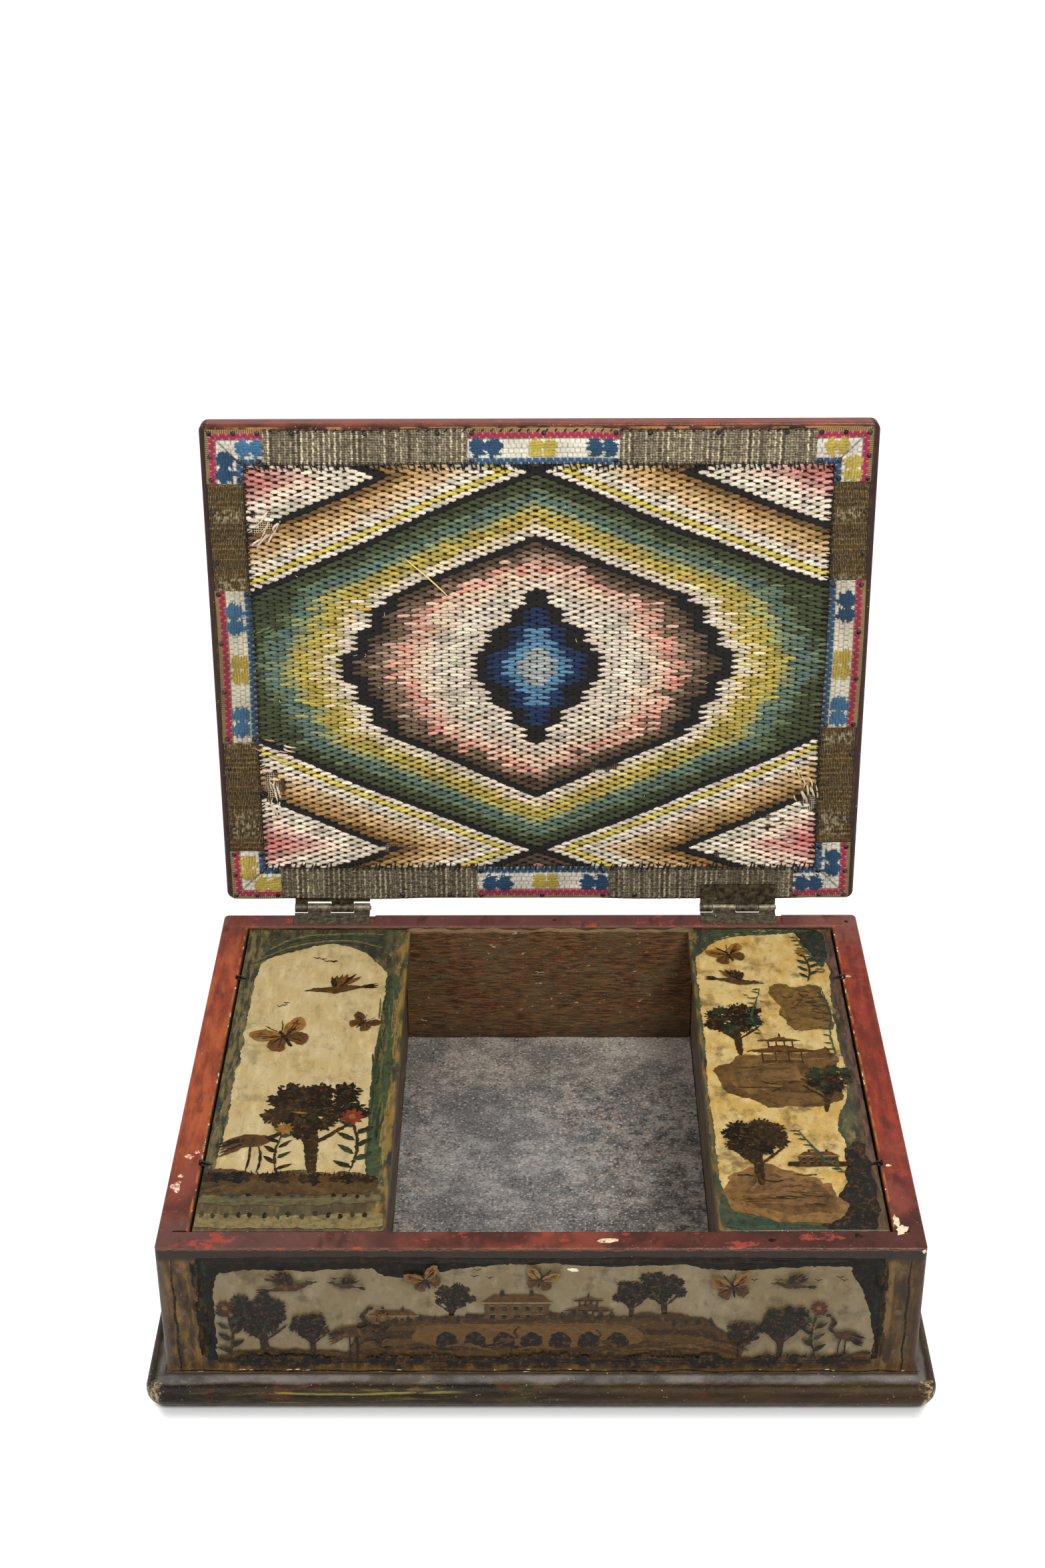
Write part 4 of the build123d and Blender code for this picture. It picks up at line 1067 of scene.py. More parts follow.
# How much paler or more soiled the ribbon of each side is.
SOIL = {"top": (1.12, 1.15, 1.1), "bottom": (1.0, 1.0, 1.0), "left": (0.8, 0.78, 0.7),
        "right": (0.85, 0.83, 0.76)}
# The dark and the light tone of the velvet spots.
NAVY, STEEL, GOLD = ("#0d2236", "#2b5375"), ("#1e4361", "#4d7fa6"), ("#85702b", "#cdb555")


def strip(name, side, spots=None):
    """One straight ribbon, or a galloon where it has no spots, along a side of the lid."""
    rng = np.random.default_rng(sum(map(ord, name)))
    start, end = node_span(name, side)
    p = np.linspace(start, end, int(abs(end - start) / GRID) + 1)
    q = np.linspace(0, TRIM_WIDTH, 36)

    def weave(t, v):
        if spots is None:
            bright = 0.72 if side == "bottom" else 1.0
            return t, v, *galloon_weave(t, v, side in ("left", "right"), bright, rng)
        height, colour = ribbon_weave(t, v, spots, rng)
        colour[..., :3] *= SOIL[side]
        return t, v, height, colour

    return lay(name, p, q, None, SIDES[side], weave, "galloon" if spots is None else "ribbon")


def corner(name, left, top, spots_x, spots_s):
    """A mitred ribbon corner with one arm along the end of the lid and one along its side."""
    rng = np.random.default_rng(len(name) * 7)
    x_low, x_high = node_span(name, "top")
    s_low, s_high = node_span(name, "left")
    arm_x = x_high + TRIM_X if left else TRIM_X - x_low
    arm_s = TRIM_S[1] - s_low if top else s_high - TRIM_S[0]
    p, q = (np.arange(0, arm + GRID / 2, GRID) for arm in (arm_x, arm_s))
    middle_p, middle_q = np.meshgrid((p[1:] + p[:-1]) / 2, (q[1:] + q[:-1]) / 2)
    keep = ~((middle_p > TRIM_WIDTH) & (middle_q > TRIM_WIDTH))

    def weave(grid_p, grid_q):
        flat = grid_p > grid_q
        t, v = np.where(flat, grid_p, grid_q), np.where(flat, grid_q, grid_p)
        height_x, colour_x = ribbon_weave(t, v, spots_x, rng)
        height_s, colour_s = ribbon_weave(t, v, spots_s, rng)
        seam = np.clip(1 - np.abs(grid_p - grid_q) / 0.7, 0, 1) * (v < TRIM_WIDTH)
        height = np.where(flat, height_x, height_s) - 0.3 * seam
        darker = 1 - 0.75 * seam[..., None] * np.array([1, 1, 1, 0])
        colour = np.where(flat[..., None], colour_x, colour_s) * darker
        return t, v, height, colour

    def to_lid(a, b):
        return (a - TRIM_X if left else TRIM_X - a), (TRIM_S[1] - b if top else TRIM_S[0] + b)

    return lay(name, p, q, keep, to_lid, weave, "ribbon")


# The velvet spots of the ribbons: place along, place across, length and dyes.
RIBBONS = {
    "top": [(-24.8, 9.4, 14.5, NAVY), (1.6, 9.4, 13, GOLD), (29.9, 9.4, 14, NAVY)],
    "bottom": [(-21.3, 9.0, 14, NAVY), (2.6, 9.0, 13, GOLD), (27.6, 9.0, 14, NAVY)],
    "left": [(157.6, 9.4, 15.5, STEEL), (131.1, 9.6, 14.5, GOLD), (103.6, 9.8, 15.5, STEEL)],
    "right": [(162.8, 9.4, 15, NAVY), (132.9, 9.4, 15, GOLD), (108.3, 9.6, 15, STEEL)],
}
# Which galloons each side has, and the spots of each corner ribbon's two arms.
GALLOONS = {"top": ("left", "right"), "bottom": ("left", "right"), "left": ("upper", "lower"),
            "right": ("upper", "lower")}
CORNERS = {
    ("top", "left"): ((21, 9.4, 13, STEEL), (18.5, 9.6, 15, NAVY)),
    ("top", "right"): ((17, 9.4, 11, GOLD), (20, 9.4, 12, GOLD)),
    ("bottom", "left"): ((19, 9.0, 14, GOLD), (18, 9.4, 13, GOLD)),
    ("bottom", "right"): ((21, 9.0, 14, NAVY), (20, 9.4, 14, NAVY)),
}


def trims():
    """All ribbons and galloons, laid end to end round the needlework as their CAD nodes are."""
    woven_ribbon()
    galloon_metal()
    for side, spots in RIBBONS.items():
        strip("ribbon_" + side, side, spots)
    for side, ends in GALLOONS.items():
        for end in ends:
            strip(f"galloon_{side}_{end}", side)
    for (level, side), (spot_x, spot_s) in CORNERS.items():
        corner(f"corner_ribbon_{level}_{side}", side == "left", level == "top", [spot_x], [spot_s])


def node_span(name, side):
    """Where a CAD strip of the open lid starts and ends, in x or in s."""
    if side in ("top", "bottom"):
        low, high = corners_mm(name)
        return low[0], high[0]
    points = np.array([v.co for v in frame["nodes"][name].data.vertices]) / MM
    s = (points - PIN) @ ALONG
    return s.min(), s.max()


def overcasting():
    """Dark sewing stitches that loop over the inner edges of the braids."""
    rng = np.random.default_rng(3)
    bundle = Bundle()
    inner_x, inner_s = TRIM_X - TRIM_WIDTH, (TRIM_S[0] + TRIM_WIDTH, TRIM_S[1] - TRIM_WIDTH)
    share = np.linspace(0, 1, 5)

    def loop(x, s, reach_x, reach_s):
        arch = CANVAS_N + 1.05 + 0.55 * np.sin(share * math.pi)
        points, faces = tube(on_lid(x + reach_x * share, s + reach_s * share, arch), rng.uniform(0.36, 0.5))
        bundle.add(points, faces, dye=linear(rng.choice(["#0e0b08", "#17120c", "#2b2114"])), yarn=(0, 0, 0))

    for x in np.arange(-inner_x + 1, inner_x, 2.7):
        for s, way in ((inner_s[1], -1), (inner_s[0], 1)):
            lean = rng.normal(1.0, 0.5)
            loop(x + rng.normal(0, 0.4), s - 1.6 * way, lean, way * rng.uniform(3.4, 5.2))
    for s in np.arange(inner_s[0] + 1, inner_s[1], 3.4):
        for x, way in ((-inner_x, 1), (inner_x, -1)):
            loop(x - 1.4 * way, s + rng.normal(0, 0.4), way * rng.uniform(2.8, 4.4), rng.normal(0.8, 0.5))
    for x in np.arange(-TRIM_X + 30, TRIM_X - 30, 4.3):
        loop(x, TRIM_S[1] - 1.2, rng.normal(1.5, 0.4), 1.5)
    return add_piece(bundle.make("edge_stitches"), "main_lid", FINISHES["wool"])


# Pasted paper figures

# Their tints.
INK, SOOT, UMBER, BROWN, RUST, OCHRE = "#120e0a", "#1c130b", "#2c1e10", "#4a3217", "#5a3a17", "#876029"
OLIVE, LEAF, PALE, STRAW, BRICK = "#1c2415", "#223424", "#8f7c55", "#9b7f42", "#74291c"
# The turn of a leaf that points up.
UP = math.pi / 2


def smooth_outline(points, steps=5, closed=True):
    """A smooth curve through points, as many short steps."""
    points = np.asarray(points, float)
    ends = (points[-1:], points[:2]) if closed else (points[:1], points[-1:])
    around = np.concatenate([ends[0], points, ends[1]])
    out = []
    for k in range(1, len(around) - 2):
        a, b, c, d = around[k - 1:k + 3]
        for step in range(steps):
            t = step / steps
            out.append(0.5 * (2 * b + (c - a) * t + (2 * a - 5 * b + 4 * c - d) * t * t
                              + (3 * b - a - 3 * c + d) * t ** 3))
    return np.array(out if closed else out + [points[-1]])


def curve(size, *points):
    """A smooth outline through points in shares of a size."""
    return smooth_outline(np.array(points) * size)


def blob(x, y, half_x, half_y, rng, rough=0.14, count=26):
    """An uneven round outline."""
    turns = np.linspace(0, 2 * math.pi, count, endpoint=False)
    reach = np.ones(count)
    for lobe in range(2, 8):
        reach += rough / lobe ** 0.6 * rng.normal() * np.cos(lobe * turns + rng.uniform(0, 6.3))
    return np.stack([x + half_x * reach * np.cos(turns), y + half_y * reach * np.sin(turns)], -1)


def leaf(x, y, length, width, turn):
    """A pointed leaf from its stalk end."""
    share = np.linspace(0, 1, 5)
    half = width / 2 * np.sin(math.pi * share ** 0.8)
    upper = np.stack([share * length, half], -1)
    lower = np.stack([share * length, -half], -1)[::-1][1:-1]
    c, s = math.cos(turn), math.sin(turn)
    return np.concatenate([upper, lower]) @ np.array([[c, s], [-s, c]]) + [x, y]


def stroke(points, width, size=1.0):
    """A brushed line, thick in the middle and thin at its ends. Points and width are shares of size."""
    path = smooth_outline(np.array(points, float) * size, closed=False)
    step = np.gradient(path, axis=0)
    side = np.stack([-step[:, 1], step[:, 0]], -1) / (np.linalg.norm(step, axis=1)[:, None] + 1e-9)
    half = width * size / 2 * (0.35 + 0.65 * np.sin(math.pi * np.linspace(0.05, 0.95, len(path))))[:, None]
    return np.concatenate([path + side * half, (path - side * half)[::-1]])


def plank(x, y, width, height):
    """A rectangle from its lower left corner."""
    return np.array([(x, y), (x + width, y), (x + width, y + height), (x, y + height)], float)


# Every figure maker takes the random numbers first and then its own sizes and colours.


def gathered(maker):
    """Lets a figure's maker yield its shapes, each an outline and its tint, and gives them as a list."""
    return lambda *given: list(maker(*given))


@gathered
def tree(rng, height=30.0, crown=OLIVE):
    """A dark tree with an open crown of many small leafy masses."""
    lean = rng.normal(0, 2)
    yield stroke([(0, 0), (lean * 0.5, height * 0.35), (lean, height * 0.7)], height * 0.1), UMBER
    for side in (-1, 1):
        for rise in (0.28, 0.42):
            branch = [(lean * 0.4, height * rise), (side * height * 0.26, height * (rise + 0.28))]
            yield stroke(branch, height * 0.035), UMBER
    for k in range(17):
        turn = 2.4 * k
        away = 0.31 * math.sqrt((k + 0.5) / 17) * rng.uniform(0.85, 1.15)
        cx, cy = lean + away * height * math.cos(turn), (0.7 + 0.8 * away * math.sin(turn)) * height
        reach = height * rng.uniform(0.065, 0.105)
        mass = rng.choice([INK, crown, SOOT, crown])
        for leaf_turn in np.linspace(0, 2 * math.pi, 11, endpoint=False):
            tip_x, tip_y = cx + 0.8 * reach * math.cos(leaf_turn), cy + 0.7 * reach * math.sin(leaf_turn)
            yield leaf(tip_x, tip_y, reach * 0.55, reach * 0.28, leaf_turn + rng.normal(0, 0.5)), mass
        yield blob(cx, cy, reach, reach * 0.85, rng, 0.2), mass
        for _ in range(4):
            lx, ly = cx + rng.uniform(-0.6, 0.6) * reach, cy + rng.uniform(-0.2, 0.7) * reach
            yield (leaf(lx, ly, reach * 0.5, reach * 0.22, rng.uniform(0, 3.1)),
                   rng.choice([BROWN, LEAF, OLIVE, UMBER]))


@gathered
def house(rng, width=26.0, wall=BROWN):
    """A country house with a hipped roof, two rows of windows and a low wing."""
    tall = width * 0.4
    yield plank(-width * 0.8, 0, width * 1.6, tall * 0.45), UMBER
    yield plank(-width / 2, 0, width, tall), wall
    yield np.array([(-0.56, 1), (0.56, 1), (0.36, 1.42), (-0.36, 1.42)]) * [width, tall], RUST
    yield plank(-width * 0.56, tall * 0.97, width * 1.12, width * 0.03), PALE
    for x in (-0.25, 0.2):
        yield plank(width * x, tall * 1.35, width * 0.06, width * 0.12), UMBER
    yield plank(-width * 0.05, 0, width * 0.1, tall * 0.36), INK
    for row, places in ((0.2, (0, 1, 3, 4)), (0.62, range(5))):
        for k in places:
            x = (-0.42 + k * 0.185) * width
            yield plank(x, tall * row, width * 0.075, tall * 0.22), SOOT
            yield plank(x - width * 0.01, tall * (row + 0.22), width * 0.095, tall * 0.03), PALE


@gathered
def pavilion(rng, width=22.0):
    """A garden pavilion with two curved roofs on posts."""
    level, reach = 0.0, width / 2
    for _ in range(2):
        storey = reach * 0.62
        for post in np.linspace(-0.7, 0.7, 4):
            yield plank(post * reach - 0.35, level, 0.7, storey), UMBER
        yield plank(-0.66 * reach, level, 1.32 * reach, storey * 0.25), BROWN
        roof = [(-1.25, 1.12), (-0.7, 0.98), (0, 1), (0.7, 0.98), (1.25, 1.12), (0.5, 1.42), (0, 1.72),
                (-0.5, 1.42)]
        yield smooth_outline(np.array(roof) * [reach, storey] + [0, level], 4), RUST
        eaves = np.array([(-1.15, 1.14), (0, 1.08), (1.15, 1.14)]) * [reach, storey] + [0, level]
        yield stroke(eaves, 0.6), INK
        level += storey * 1.45
        reach *= 0.62
    yield leaf(0, level + 0.4, width * 0.16, 0.9, UP), INK


@gathered
def heron(rng, h=40.0):
    """A wading bird with a long neck, h high."""
    yield stroke([(-0.03, 0.4), (-0.02, 0.2), (-0.04, 0)], 0.025, h), INK
    yield stroke([(0.05, 0.41), (0.09, 0.2), (0.07, 0)], 0.025, h), INK
    yield stroke([(0.1, 0.5), (0.24, 0.6), (0.17, 0.76), (0.27, 0.9)], 0.065, h), UMBER
    yield curve(h, (-0.3, 0.42), (-0.14, 0.55), (0.06, 0.56), (0.16, 0.5), (0.1, 0.41), (-0.1, 0.37)), BROWN
    yield blob(0.28 * h, 0.91 * h, 0.045 * h, 0.035 * h, rng, 0.03), UMBER
    yield leaf(0.31 * h, 0.91 * h, 0.18 * h, 0.03 * h, -0.12), OCHRE
    for k in range(5):
        feather = leaf(-0.08 * h, (0.5 - 0.025 * k) * h, 0.3 * h, 0.05 * h, math.pi + 0.3 + 0.08 * k)
        yield feather, rng.choice([INK, SOOT, RUST])


@gathered
def flying_bird(rng, b):
    """A bird seen from the side with its wings up, b wide."""
    yield curve(b, (-0.42, 0.02), (-0.1, 0.1), (0.2, 0.08), (0.34, 0.1), (0.42, 0.04), (0.3, 0),
                (0.05, -0.08), (-0.2, -0.04)), BROWN
    yield leaf(0.4 * b, 0.05 * b, 0.1 * b, 0.03 * b, -0.1), INK
    for k in range(6):
        feather = leaf(0.02 * b, 0.05 * b, (0.5 - 0.04 * k) * b, 0.1 * b, math.radians(150 - 13 * k))
        yield feather, rng.choice([SOOT, RUST, UMBER])
    for k in range(3):
        yield leaf(-0.36 * b, 0.02 * b, 0.28 * b, 0.06 * b, math.pi + 0.2 * (k - 1)), SOOT


@gathered
def butterfly(rng, b, wing=OCHRE):
    """A butterfly with veined wings, b wide."""
    for side in (-1, 1):
        upper = (0, 0.05), (side * 0.2, 0.34), (side * 0.48, 0.4), (side * 0.46, 0.14), (side * 0.2, 0)
        lower = (0, 0), (side * 0.3, 0), (side * 0.38, -0.2), (side * 0.18, -0.36), (side * 0.05, -0.15)
        yield curve(b, *upper), wing
        yield curve(b, *lower), RUST
        for reach, up in ((0.42, 0.34), (0.42, 0.24), (0.36, 0.14), (0.32, -0.1), (0.22, -0.26)):
            yield stroke([(side * 0.03, 0.02), (side * reach, up)], 0.028, b), UMBER
        yield blob(side * 0.33 * b, 0.27 * b, 0.05 * b, 0.05 * b, rng, 0.05), BRICK
        yield stroke([(0, 0.12), (side * 0.1, 0.3), (side * 0.16, 0.46)], 0.02, b), INK
    yield stroke([(0, 0.2), (0, 0), (0, -0.3)], 0.08, b), SOOT


@gathered
def flower(rng, h=34.0, bloom=BRICK):
    """A stem h high with leaves in turn and an open bloom."""
    yield stroke([(0, 0), (0.06, 0.4), (-0.02, 0.86)], 0.03, h), UMBER
    for k in range(7):
        turn = UP + (-1) ** k * rng.uniform(0.8, 1.15)
        yield leaf(0.03 * h, (0.1 + 0.1 * k) * h, 0.22 * h, 0.07 * h, turn), rng.choice([OLIVE, LEAF, SOOT])
    for k in range(9):
        yield leaf(-0.02 * h, 0.86 * h, 0.13 * h, 0.06 * h, 2 * math.pi * k / 9), bloom
    yield blob(-0.02 * h, 0.86 * h, 0.035 * h, 0.035 * h, rng, 0.05), OCHRE


@gathered
def rocks(rng, width):
    """A low bank of stones, bushes and short blades of grass."""
    for k in range(9):
        x = (k / 8 - 0.5) * width
        yield blob(x, 1.2, width * 0.1, rng.uniform(2.0, 4.2), rng), rng.choice([INK, SOOT, UMBER, BROWN])
    for k in np.arange(0, width, 2.1):
        yield leaf(k - width / 2, 2.5, 3.0 * rng.uniform(0.7, 1.3), 0.75, UP + rng.normal(0, 0.25)), INK


@gathered
def far_birds(rng, count):
    """Small marks of distant birds."""
    for _ in range(count):
        x, y = rng.uniform(-9, 9), rng.uniform(-3, 3)
        wings = [(x - 1.9, y + 0.9), (x - 0.7, y + 0.5), (x, y), (x + 0.9, y + 0.7), (x + 1.9, y + 0.6)]
        yield stroke(wings, 0.6), INK


def worn_outline(outline, rng):
    """The same outline with more points, each a little out of place."""
    extent = np.ptp(outline, axis=0).min()
    following = np.roll(outline, -1, axis=0)
    parts = np.clip(np.linalg.norm(following - outline, axis=1) / 1.1, 1, 14).astype(int)
    points = [a + (b - a) * k / n for a, b, n in zip(outline, following, parts) for k in range(n)]
    return np.array(points) + rng.normal(0, min(0.22, extent * 0.06), (len(points), 2))


# How far the border, the ground and the figures lie above the wood, and each shape above the one before.
LAYERS = (0.02, 0.08, 0.12)
SHAPE_STEP = 0.0006
ACROSS_X, ACROSS_Y, UPWARD, FORWARD = (1, 0, 0), (0, 1, 0), (0, 0, 1), (0, -1, 0)
FRONT_PLACE = ((0, FRONT_Y, 0), ACROSS_X, UPWARD, FORWARD)
SMALL_LID_PLACE = ((0, 0, SMALL_LID_TOP), ACROSS_X, ACROSS_Y, UPWARD)


class Panel:
    """Paper and paint on a flat side. place is its origin and its directions across, up and out."""

    def __init__(self, place, layer, tone=1.0, limits=None):
        self.tone, self.limits, self.height = tone, limits, LAYERS[layer]
        self.place = [np.array(v, float) for v in place]
        self.bundle = Bundle()
        self.rng = np.random.default_rng(17)

    def lay(self, outline, tint, shade=0.1):
        """Lays one shape on top of those so far, with its edge worn and its tint uneven by shade."""
        origin, across, up, out = self.place
        outline = worn_outline(np.asarray(outline, float), self.rng)
        if self.limits is not None:
            outline = np.clip(outline, *self.limits)
        self.height += SHAPE_STEP
        points = origin + outline[:, :1] * across + outline[:, 1:] * up + self.height * out
        colours = np.repeat(np.array([linear(tint)]), len(points), 0)
        colours[:, :3] *= self.tone * np.clip(self.rng.normal(1, shade, (len(points), 1)), 0.5, 1.6)
        self.bundle.add(points, [list(range(len(points)))], tint=colours)

    def paste(self, shapes, x, y, size=1.0, turn=0.0, flip=False):
        """Lays a figure's shapes with its foot at x and y."""
        c, s = math.cos(turn), math.sin(turn)
        for outline, tint in shapes:
            local = np.asarray(outline, float) * [-size if flip else size, size]
            self.lay(local @ np.array([[c, s], [-s, c]]) + [x, y], tint)

    def make(self, name, body, finish="paper_figures"):
        """The piece of all shapes so far."""
        return add_piece(self.bundle.make(name, smooth=False), body, FINISHES[finish])


def ragged(points, rng, amount=0.35, steps=8):
    """A brushed edge: a smooth outline with small waves."""
    outline = smooth_outline(points, steps)
    waves = np.stack([np.sin(outline[:, 1] / 2.3), np.sin(outline[:, 0] / 2.9)], -1)
    return outline + rng.normal(0, amount * 0.35, outline.shape) + amount * waves * 0.6


def mound(panel, outline, rng, tints):
    """A ragged patch of earth in several tones."""
    outline = np.array(outline, float)
    middle = outline.mean(axis=0)
    for k, tint in enumerate(tints):
        shape = middle + (outline - middle) * (1 - 0.24 * k) + rng.normal(0, 1.0, 2) * (k > 0)
        panel.lay(ragged(shape + rng.normal(0, 1.1, shape.shape), rng, 1.5, 5), tint, 0.22)
    reach = np.ptp(outline, axis=0) / 2
    for _ in range(26):
        x, y = middle + rng.uniform(-0.6, 0.6, 2) * reach
        half = reach[0] * rng.uniform(0.08, 0.26)
        line = [(x - half, y + rng.normal(0, 0.8)), (x, y + rng.normal(0, 0.8)), (x + half, y)]
        panel.lay(stroke(line, rng.uniform(0.4, 1.3)), rng.choice([UMBER, "#3a2814", "#7a5f36", "#4a3519"]))


# The outlines of the light grounds on the two compartment lids and on the front.
LEFT_FIELD = [
    (-135.8, 84), (-120.7, 93), (-106.7, 99.8), (-97.3, 98.5), (-90.8, 95), (-82, 86), (-74, 71.8),
    (-72.4, 59), (-74.7, 41), (-76.8, 10), (-77.2, -15), (-76.7, -38), (-74.9, -60), (-74.2, -76), (-84, -78),
    (-102, -74), (-120, -76.5), (-129, -79), (-140, -75), (-140.4, -61), (-139, -35), (-140, -12), (-139, 3),
    (-139, 26), (-138.6, 58)]
RIGHT_FIELD = [
    (82.6, 95), (90.6, 105), (109, 111.6), (126, 111.8), (134, 110), (137.8, 90), (141.2, 79), (139.6, 51),
    (139.2, 21), (140, -4), (137.6, -26), (132.2, -41), (134.7, -66), (130.4, -87), (125.8, -103),
    (108, -105.4), (92.7, -102), (85.3, -96.7), (78, -87), (77, -69), (76.7, -41), (76.3, -10), (76.9, 21),
    (77, 55), (76.8, 84)]
FRONT_FIELD = [
    (-135, 67), (-131, 69), (-116, 70.7), (-93, 69.8), (-80, 71.2), (-70.4, 71), (-65, 67.6), (-53, 66.6),
    (-40.6, 70), (-22.5, 72.6), (5, 74), (24.5, 72.3), (50, 73.3), (63, 72.6), (74, 70.6), (92, 70.6),
    (105, 72), (127, 72), (130, 68), (135.6, 55), (139, 43), (139.6, 22), (120, 20.5), (60, 20), (0, 19.5),
    (-70, 20), (-120, 20.5), (-136.3, 21.5), (-136.9, 40), (-137, 58)]


def left_border(panel, rng):
    """The left lid's green edges, with their streaks, and the strokes round its top."""
    for dx, tint in ((0, "#2c3b28"), (2.6, "#364630")):
        edge = [(-74.5 + dx, 70), (-70.5 + dx, 66), (-68.4, 30), (-69, -20), (-69.4, -74), (-75.5, -76),
                (-76.6 + dx, -40), (-77 + dx, -15), (-76.6 + dx, 10), (-74.6 + dx, 41)]
        panel.lay(ragged(edge, rng, 0.5), tint, 0.06)
    for _ in range(70):
        x, y = rng.uniform(-76.4, -67.6), rng.uniform(-74, 50)
        line = [(x, y), (x + rng.normal(0, 0.7), y + 8), (x + rng.normal(0, 0.8), y + 17)]
        worn, green = ["#7d6a3c", "#6d5f36", "#857040"], ["#5d5631", "#1f2c20", "#4c5430", "#2a3a2a"]
        panel.lay(stroke(line, rng.uniform(0.35, 1.2)), rng.choice(worn if x > -70.4 else green))
    for k in range(5):
        arch = [(-142 + 2 * k, 82 + 3.2 * k), (-120, 96 + 2.4 * k), (-96, 100.5 + 2 * k), (-78, 92 + 4 * k)]
        panel.lay(stroke(arch, 1.3), rng.choice(["#28392f", "#2c3f3a", "#6d6238"]))


def left_foreground(panel, rng):
    """Earth and rocks at the near end of the left lid, and the painted strips with dots before them."""
    earth = [(-145, -76), (-132, -73), (-121, -77), (-110, -74), (-96, -79), (-84, -75), (-74, -77),
             (-72, -88), (-100, -90), (-146, -89)]
    upper = [(-146, -91), (-110, -92), (-72, -90), (-71, -95), (-108, -97), (-146, -96)]
    lower = [(-146, -103), (-108, -104), (-69, -102), (-68, -111), (-108, -111.4), (-146, -110.4)]
    panel.lay(ragged(earth, rng, 1.2), "#4a371e", 0.3)
    panel.paste(rocks(rng, 34), -126, -80)
    panel.paste(rocks(rng, 36), -92, -81)
    panel.lay(ragged(upper, rng, 0.8), "#585137", 0.25)
    panel.lay(ragged(lower, rng, 0.6), "#7f6f48", 0.15)
    for x in np.arange(-143, -72, 5.3):
        for spread, y, half_x, half_y in ((0.6, -103.4, 1.0, 1.8), (1.6, -91.2, 1.1, 1.2)):
            dot = blob(x + rng.normal(0, spread), y + rng.normal(0, 0.6), half_x, half_y, rng)
            panel.lay(dot, rng.choice([INK, "#28382a"]))


def small_lid_panels(low_x, high_x):
    """The ground and the figures of a compartment lid."""
    limits = ((low_x, -112.2), (high_x, 112.2))
    return [Panel(SMALL_LID_PLACE, layer, limits=limits) for layer in (1, 2)]


def left_lid_picture():
    """The left lid: a tree, a heron and flowers under birds and butterflies."""
    ground, panel = small_lid_panels(-145.4, -66.2)
    rng = panel.rng
    ground.lay(ragged(LEFT_FIELD, rng, 0.5), PALE)
    ground.make("left_lid_ground", "left_lid", "ground_left")
    left_border(panel, rng)
    left_foreground(panel, rng)
    panel.paste(tree(rng, 66, "#2a2016"), -99, -76)
    panel.paste(heron(rng, 46), -126, -76)
    panel.paste(flower(rng, 46, BRICK), -83, -77)
    panel.paste(flower(rng, 36, OCHRE), -114, -77, flip=True)
    panel.paste(butterfly(rng, 27), -120, 22, turn=0.5)
    panel.paste(flying_bird(rng, 32), -98, 60, turn=0.15, flip=True)
    panel.paste(butterfly(rng, 15, BROWN), -84, 33, turn=-0.6)
    panel.paste(far_birds(rng, 5), -108, 86)
    panel.paste(far_birds(rng, 3), -124, 48, 0.8)
    panel.make("left_lid_figures", "left_lid")


def right_lid_picture():
    """The right lid: three islands with trees, a pavilion and a house."""
    ground, panel = small_lid_panels(75.6, 145.4)
    rng = np.random.default_rng(29)
    ground.lay(ragged(RIGHT_FIELD, rng, 0.5), STRAW)
    ground.make("right_lid_ground", "right_lid", "ground_right")
    for patch, amount, tint, shade in (
        ([(127, 113), (140, 111), (142, 96), (139, 80), (134, 88), (130, 100)], 0.6, "#1f2a24", 0.15),
        ([(134, -60), (142, -58), (141, -110), (118, -111), (126, -95), (131, -80)], 1.0, "#1c1d18", 0.2),
        ([(78, -90), (84, -101), (98, -107), (112, -109), (118, -111.5), (78, -111.5)], 0.6, "#2c4132", 0.12),
    ):
        panel.lay(ragged(patch, rng, amount), tint, shade)
    for k in range(5):
        arch = [(79, 96 + 2.6 * k), (96, 106 + 1.4 * k), (118, 108 + k), (136, 111)]
        panel.lay(stroke(arch, 1.2), rng.choice(["#2c4132", "#354a38"]))
    for outline, tints in (
        ([(80, -8), (88, 6), (104, 12), (120, 10), (134, 14), (138, -2), (137, -26), (120, -31),
          (103, -28), (88, -20)], ["#5a4122", "#654b29", "#5c4324", "#6a502d"]),
        ([(112, 60), (122, 64), (136, 62), (138, 40), (136, 26), (120, 30), (112, 44)],
         ["#634a24", "#6f5429", "#604824"]),
        ([(82, -78), (96, -70), (110, -76), (124, -84), (130, -102), (104, -106), (80, -98)],
         ["#7a5932", "#604627", "#6e5030"]),
    ):
        mound(panel, outline, rng, tints)
    panel.paste(pavilion(rng, 26), 112, 2)
    panel.paste(tree(rng, 40, "#1d2a1b"), 93, 8)
    panel.paste(tree(rng, 34, "#1f2c1d"), 128, -34)
    panel.paste(tree(rng, 44, "#2a1d0f"), 95, -84)
    panel.paste(house(rng, 17), 121, -72)
    panel.paste(flying_bird(rng, 26), 96, 66, turn=-0.2)
    panel.paste(butterfly(rng, 19), 93, 89, turn=0.4)
    panel.paste(flower(rng, 30, OCHRE), 130, 66)
    for x, y, turn in ((104, 40, 0.2), (100, 52, -0.4), (88, 42, 0.6), (90, -52, 0.1), (112, -50, 0.3)):
        panel.paste(far_birds(rng, 3), x, y, 0.8, turn)
    for arc in (
        ((106, 60), (103, 48), (100, 36), (104, 24)), ((128, 104), (131, 94), (136, 84), (139, 74)),
        ((114, -48), (119, -58), (124, -68), (132, -76)), ((136, 58), (138, 40), (136, 22), (137, 8)),
    ):
        panel.lay(stroke(arc, 0.9), "#2c4a3a")
        for x, y in smooth_outline(arc, 6, False)[::2]:
            panel.lay(leaf(x, y, 4.2, 1.0, math.pi + rng.normal(0, 0.2)), "#2a3f32")
    panel.make("right_lid_figures", "right_lid")


